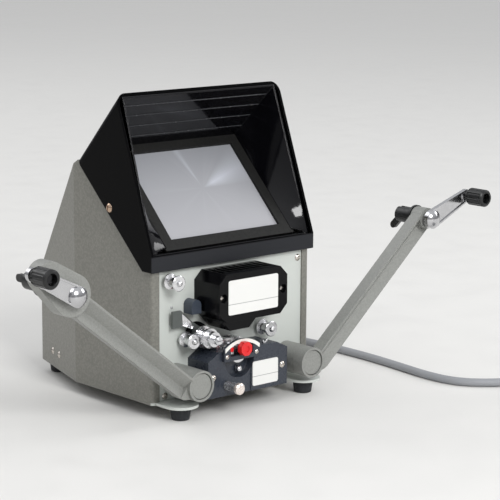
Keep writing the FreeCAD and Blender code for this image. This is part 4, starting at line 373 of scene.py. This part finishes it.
def ground_screen():
    """Ground screen with painted light: paler towards its lower edge, with the field lens's fan of faint
    bright streaks, a bright wedge and a narrow ray painted on.
    """
    f = Finish("screen_ground")
    x, y, z = f.axes()
    rise = f.math("ADD", f.math("MULTIPLY", y, SCREEN_COS), f.math("MULTIPLY", z, SCREEN_SIN))
    across = f.math("SUBTRACT", x, SCREEN_HUB[0])
    along = f.math("SUBTRACT", rise, SCREEN_HUB[1])
    # Painted light: the screen is paler towards its lower edge
    height = f.span(along, 0.0, 1.0, SCREEN_LOW, SCREEN_HIGH)
    shade = f.mix(height, srgb(168, 168, 172), srgb(138, 140, 145))
    angle = f.math("ARCTAN2", along, across)
    turn = f.add("ShaderNodeCombineXYZ")
    f.feed(turn.inputs[0], f.math("MULTIPLY", angle, 0.01))
    # Painted light: faint bright streaks fanning out from the hub
    streaks = f.noise(5.5, 2.0, 0.6, turn.outputs[0])
    far = f.math("SQRT", f.math("ADD", f.math("POWER", across, 2), f.math("POWER", along, 2)))
    faint = f.span(far, 0.14, 0.03, 0.004, 0.05)
    shade = f.mix(f.math("MULTIPLY", f.span(streaks, 0.0, 1.0, 0.5, 0.8), faint), shade, srgb(196, 197, 203))
    # Painted light: a bright wedge and a narrow ray, fading further from the hub
    off_wedge = f.math("ABSOLUTE", f.math("SUBTRACT", angle, WEDGE_ANGLE))
    off_ray = f.math("ABSOLUTE", f.math("SUBTRACT", angle, RAY_ANGLE))
    wedge = f.span(off_wedge, 0.62, 0.0, 0.0, WEDGE_HALF)
    ray = f.span(off_ray, 0.3, 0.0, 0.0, RAY_HALF)
    wedge = f.math("MAXIMUM", wedge, ray)
    wedge = f.math("MULTIPLY", wedge, f.span(far, 0.0, 1.0, 0.001, 0.012))
    shade = f.mix(f.math("MULTIPLY", wedge, f.span(far, 1.0, 0.2, 0.02, 0.055)), shade, srgb(206, 210, 220))
    f.colour(f.mix(f.span(f.noise(0.4, 2.0), 0.0, 0.05), shade, srgb(120, 122, 128)))
    f.rough(f.span(f.noise(0.5, 2.0), 0.3, 0.42))
    f.normal(f.bump(f.noise(0.3, 1.0), 0.004, f.rounded(0.3)))
    return f


GROUND = ground_screen()

put(ENAMEL, "front_panel")
put(base_enamel(), "base_plate")
put(RUBBER, "rubber_feet")
put(SHELL, "case_shell")
put(HOOD, "hood")
put(LINER, "hood_liner")
put(BEZEL, "screen_bezel")
put(GROUND, "screen_glass")
put(CLEAR, "fresnel_lens", "condenser_lens", "projection_lens", "optical_prism", "lamp_bulb")
put(MIRROR, "rear_mirror", "turning_mirror")
put(STEEL, "mirror_bracket", "prism_shaft")
put(IRON, "transformer")
put(PALE, "terminal_block")
put(LAMP, "lamp_house")
put(LABEL, "label_plates")
put(BRASS, "lamp_socket", "sprocket_gear", "left_crank_gear")
put(GATE, "gate_housing", "gate_plate")
put(WHITE, "gate_arc")
put(CHROME, "gate_ball", "film_shoe", "roller_studs", "sprocket")
put(NOTCHER, "notcher_button")
put(CHROME, "roller_upper", "roller_left", "roller_right")
put(POLISH, "left_crank", "right_crank")
put(IRON, "lens_barrel")
put(ARM, "arm_pivots", "left_arm", "left_gear_cover", "right_arm")
put(SCREW, "panel_screws", "housing_screws")
put(COPPER, "hood_screws")
put(SWITCH, "switch_frame", "switch_rocker")
put(RED, "format_knob")
put(SLATE, "focus_knob")
put(LEVER, "framing_lever")
put(GRIP, "left_crank_grip", "right_crank_grip")
put(SPINDLE, "left_spindle", "left_latch", "right_spindle", "right_latch")
put(CORD, "cord_grommet", "cord_lead", "cord_coil", "plug")


# Small pieces that ride on the solids


def settle(shape, name, finish, body):
    """A piece made from finished mesh data, riding on a body."""
    data = bpy.data.meshes.new(name)
    bmesh.ops.recalc_face_normals(shape, faces=shape.faces)
    shape.to_mesh(data)
    shape.free()
    data.materials.append(finish.material)
    piece = bpy.data.objects.new(name, data)
    scene.collection.objects.link(piece)
    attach(piece, body)
    return piece


def soften(shape, edge):
    """Rounds the sharp edges of a small shape."""
    sharp = [e for e in shape.edges if len(e.link_faces) == 2 and e.calc_face_angle() > 0.5]
    bmesh.ops.bevel(shape, geom=sharp, offset=edge * MM, segments=2, profile=0.5, affect="EDGES")


def cut_plate(name, outline, y0, y1, finish, body, slot, edge=0.2):
    """A flat piece of the given outline in x and z, from y0 to y1, with rounded edges."""
    shape = bmesh.new()
    face = shape.faces.new([shape.verts.new(at(x, y1, z)) for x, z in outline])
    grown = bmesh.ops.extrude_face_region(shape, geom=[face])["geom"]
    verts = [v for v in grown if isinstance(v, bmesh.types.BMVert)]
    bmesh.ops.translate(shape, verts=verts, vec=(0, (y0 - y1) * MM, 0))
    soften(shape, edge)
    return settle(shape, name, finish, body)


def turned_piece(name, x, z, profile, finish, body, slot, steps=48):
    """A round piece along y, turned from (radius, y) points; its ends close where radius is 0."""
    shape = bmesh.new()
    verts = [shape.verts.new(at(x + radius, y, z)) for radius, y in profile]
    edges = [shape.edges.new(pair) for pair in zip(verts, verts[1:])]
    bmesh.ops.spin(
        shape,
        geom=verts + edges,
        cent=at(x, 0, z),
        axis=(0, 1, 0),
        angle=2 * math.pi,
        steps=steps,
        use_duplicate=False,
    )
    bmesh.ops.remove_doubles(shape, verts=shape.verts, dist=0.00002)
    for face in shape.faces:
        face.smooth = True
    return settle(shape, name, finish, body)


def arc(x, z, radius, start, end, count=28):
    """Points along an arc; angles in degrees from +x towards +z."""
    points = []
    for i in range(count + 1):
        a = math.radians(start + (end - start) * i / count)
        points.append((x + radius * math.cos(a), z + radius * math.sin(a)))
    return points


# Raised ribs across the hood's ceiling, from the rim to the screen's frame
CEILING_RIM = (68.6, 35.25, 217.97)
CEILING_END = (57.8, 65.23, 180.59)
RIB_PLACES = (0.16, 0.37, 0.59, 0.81)
RIB_WIDE = 0.9
RIB_TALL = 0.55
RIB_SINK = 0.1
RIB_CLEAR = 0.4


def hood_ribs():
    run = (Vector(CEILING_END) - Vector(CEILING_RIM)).normalized()
    run.x = 0
    run.normalize()
    proud = Vector((0, run.z, -run.y))
    section = (
        (-RIB_WIDE / 2, -RIB_SINK),
        (-RIB_WIDE / 4, RIB_TALL),
        (RIB_WIDE / 4, RIB_TALL),
        (RIB_WIDE / 2, -RIB_SINK),
    )
    shape = bmesh.new()
    for share in RIB_PLACES:
        half, y, z = Vector(CEILING_RIM).lerp(Vector(CEILING_END), share)
        ends = []
        for side in (-1, 1):
            ring = []
            for along, up in section:
                spot = Vector((side * (half - RIB_CLEAR), y, z)) + run * along + proud * up
                ring.append(shape.verts.new(at(*spot)))
            ends.append(ring)
        for i in range(4):
            k = (i + 1) % 4
            shape.faces.new((ends[0][i], ends[0][k], ends[1][k], ends[1][i]))
        shape.faces.new(ends[0])
        shape.faces.new(ends[1])
    soften(shape, 0.12)
    return settle(shape, "hood_ribs", RIB, "root")


# A bright ring on the recess floor, open at the top for the knob's spindle
RECESS = (-12.0, 41.5)
RING_OUT_R = 7.2
RING_IN_R = 4.6
RING_FROM = 122
RING_TO = 418
RING_DEPTH = (-20.4, -16.2)

# Flat pieces, each an outline in x and z and its front and back
MARK_OUTLINE = ((-22.7, 44.0), (-19.4, 43.4), (-18.6, 45.6), (-20.2, 47.8), (-22.7, 47.6))
MARK_DEPTH = (-22.9, -21.4)
BLADE_OUTLINE = ((-50.0, 72.0), (-49.4, 63.0), (-43.4, 61.0), (-38.4, 58.4), (-42.2, 65.2))
BLADE_DEPTH = (-4.6, -3.9)
SPRING_OUTLINE = (
    (10.8, 46.6),
    (12.2, 43.6),
    (13.2, 43.6),
    (16.4, 47.2),
    (15.5, 47.8),
    (12.8, 45.2),
    (11.7, 47.0),
)
SPRING_DEPTH = (-19.8, -18.9)

# Turned pieces, each a profile of radius and depth
SPROCKET_AXIS = (-33.8, 54.0)
COLLAR_PROFILE = (
    (6.6, 1.2),
    (9.3, 1.2),
    (9.3, -0.2),
    (8.2, -0.5),
    (8.2, -1.1),
    (9.0, -1.3),
    (9.0, -2.2),
    (6.6, -2.2),
    (6.6, 1.2),
)
DOT_AT = (-54.8, 76.0)
DOT_PROFILE = ((0, 0.5), (0.5, 0.55), (0.9, 0.8), (1.05, 1.25))
DOT_STEPS = 24

ring_outline = arc(*RECESS, RING_OUT_R, RING_FROM, RING_TO) + arc(*RECESS, RING_IN_R, RING_TO, RING_FROM)

hood_ribs()
cut_plate("film_ring", ring_outline, *RING_DEPTH, CHROME, "root", "bright_chrome", 0.3)
cut_plate("index_mark", MARK_OUTLINE, *MARK_DEPTH, MARK, "root", "red_plastic")
cut_plate("lever_plate", BLADE_OUTLINE, *BLADE_DEPTH, CHROME, "framing_lever", "bright_chrome")
cut_plate("film_spring", SPRING_OUTLINE, *SPRING_DEPTH, CHROME, "root", "bright_chrome", 0.1)
turned_piece("sprocket_collar", *SPROCKET_AXIS, COLLAR_PROFILE, LAMP, "root", "lamp_black")
turned_piece("index_dot", *DOT_AT, DOT_PROFILE, CHROME, "root", "bright_chrome", DOT_STEPS)


# Cord

CORD_THICK = 6.0
CORD_ROUTE = (
    (30, 181, 20),
    (30, 195, 20),
    (35.5, 213.5, 16.5),
    (50, 227, 9),
    (73, 232, 3),
    (99, 224, 3),
    (122, 201, 3),
    (139.5, 168, 3),
    (151.5, 130, 3),
    (158, 92, 3),
    (160, 54, 3),
    (159.5, 18, 3),
    (156.2, -16, 3),
    (152.3, -48, 3),
    (155, -74, 3),
    (172, -92.5, 3),
    (197, -105.5, 3),
    (226, -105.5, 3),
)
COIL_START = 232.0
COIL_RADII = (41.75, 38.25, 34.75, 31.25, 27.75)
COIL_MIDDLE = 24.25
COIL_RISE = 6.6
HALF_TURN_POINTS = 8


def coil_points():
    """The coil's turns, out to in on the floor and in to out on top of them."""
    x = COIL_START
    y = CORD_ROUTE[-1][1]
    z = CORD_ROUTE[-1][2]
    side = 1
    points = []
    turns = [(r, 0.0) for r in COIL_RADII] + [(COIL_MIDDLE, COIL_RISE)]
    turns += [(r, 0.0) for r in reversed(COIL_RADII)]
    step = math.pi / HALF_TURN_POINTS
    for radius, rise in turns:
        y -= side * radius
        reach = radius / math.cos(step / 2)
        for k in range(HALF_TURN_POINTS):
            angle = (k + 0.5) * step
            up = rise * (k + 0.5) / HALF_TURN_POINTS
            points.append((x + side * reach * math.sin(angle), y + side * reach * math.cos(angle), z + up))
        y -= side * radius
        z += rise
        side = -side
    return points, (CORD_ROUTE[-1][0], y, z)


def spline_curve(name, points, thick, finish):
    """One smooth tube along the points, which guide it without all lying on it."""
    curve = bpy.data.curves.new(name, "CURVE")
    curve.dimensions = "3D"
    curve.bevel_depth = thick / 2 * MM
    curve.bevel_resolution = 5
    curve.use_fill_caps = True
    spline = curve.splines.new("NURBS")
    spline.points.add(len(points) - 1)
    for point, place in zip(spline.points, points):
        point.co = (*at(*place), 1.0)
    spline.order_u = 3
    spline.use_endpoint_u = True
    spline.resolution_u = 8
    piece = bpy.data.objects.new(name, curve)
    scene.collection.objects.link(piece)
    curve.materials.append(finish.material)
    return piece


turns, coil_end = coil_points()
cord = spline_curve("mains_cord", [*CORD_ROUTE, *turns, coil_end], CORD_THICK, CORD)
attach(cord, "root")
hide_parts("cord_lead", "cord_coil")


# Floor, light and camera

CAMERA_AT = Vector((-0.8732, -1.0501, 0.3592))
CAMERA_YAW = math.radians(41.61)
CAMERA_DOWN = math.radians(10.69)
CAMERA_ROLL = math.radians(0.36)
CAMERA_LENS = 137.88
FLOOR_REACH = 14.0
SKY_LOW = (0.30, 0.30, 0.31, 1)
SKY_HIGH = (0.86, 0.87, 0.89, 1)
SKY_HIGH_AT = 0.75
SKY_STRENGTH = 0.9
LAMP_TARGET = Vector((0, 0, 0.1))
LAMPS = (
    ("key", (-0.5, -2.3, 1.5), 0.9, 44),
    ("side", (2.0, -0.9, 1.2), 0.9, 12),
    ("back", (-0.6, 2.2, 1.8), 1.6, 14),
)


def make_camera():
    data = bpy.data.cameras.new("camera")
    data.lens = CAMERA_LENS
    data.sensor_width = 36.0
    data.clip_end = 50.0
    camera = bpy.data.objects.new("camera", data)
    scene.collection.objects.link(camera)
    flat = math.cos(CAMERA_DOWN)
    ahead = Vector(
        (math.sin(CAMERA_YAW) * flat, math.cos(CAMERA_YAW) * flat, -math.sin(CAMERA_DOWN))
    )
    right = Vector((math.cos(CAMERA_YAW), -math.sin(CAMERA_YAW), 0.0))
    up = right.cross(ahead)
    turned_right = right * math.cos(CAMERA_ROLL) + up * math.sin(CAMERA_ROLL)
    turned_up = up * math.cos(CAMERA_ROLL) - right * math.sin(CAMERA_ROLL)
    turn = Matrix((turned_right, turned_up, -ahead)).transposed().to_4x4()
    camera.matrix_world = Matrix.Translation(CAMERA_AT) @ turn
    scene.camera = camera


def make_floor():
    """A wide flat sheet of pale paper."""
    shape = bpy.data.meshes.new("floor")
    far = FLOOR_REACH
    corners = [(-far, -far, 0), (far, -far, 0), (far, far, 0), (-far, far, 0)]
    shape.from_pydata(corners, [], [(0, 1, 2, 3)])
    floor = bpy.data.objects.new("floor", shape)
    scene.collection.objects.link(floor)
    paper = plain("floor_paper", (226, 225, 222), 0.7, swing=0.012, patch=300.0)
    shape.materials.append(paper.material)


def area_light(name, place, size, power):
    """A square lamp that faces the object."""
    data = bpy.data.lights.new(name, "AREA")
    data.energy = power
    data.shape = "RECTANGLE"
    data.size = size
    data.size_y = size
    lamp = bpy.data.objects.new(name, data)
    scene.collection.objects.link(lamp)
    place = Vector(place)
    lamp.location = place
    lamp.rotation_euler = (LAMP_TARGET - place).to_track_quat("-Z", "Y").to_euler()


def make_light():
    """A soft room, pale above and dimmer below, with a large lamp in front, one aside and one behind."""
    world = bpy.data.worlds.new("studio")
    world.use_nodes = True
    tree = world.node_tree
    shine = tree.nodes["Background"]
    place = tree.nodes.new("ShaderNodeTexCoord").outputs["Generated"]
    split = tree.nodes.new("ShaderNodeSeparateXYZ")
    tree.links.new(place, split.inputs["Vector"])
    ramp = tree.nodes.new("ShaderNodeValToRGB")
    low, high = ramp.color_ramp.elements
    low.position = 0.0
    low.color = SKY_LOW
    high.position = SKY_HIGH_AT
    high.color = SKY_HIGH
    tree.links.new(split.outputs["Z"], ramp.inputs["Fac"])
    tree.links.new(ramp.outputs["Color"], shine.inputs["Color"])
    shine.inputs["Strength"].default_value = SKY_STRENGTH
    scene.world = world
    for name, place, size, power in LAMPS:
        area_light(name, place, size, power)


make_camera()
make_floor()
make_light()
scene.view_settings.view_transform = "Standard"
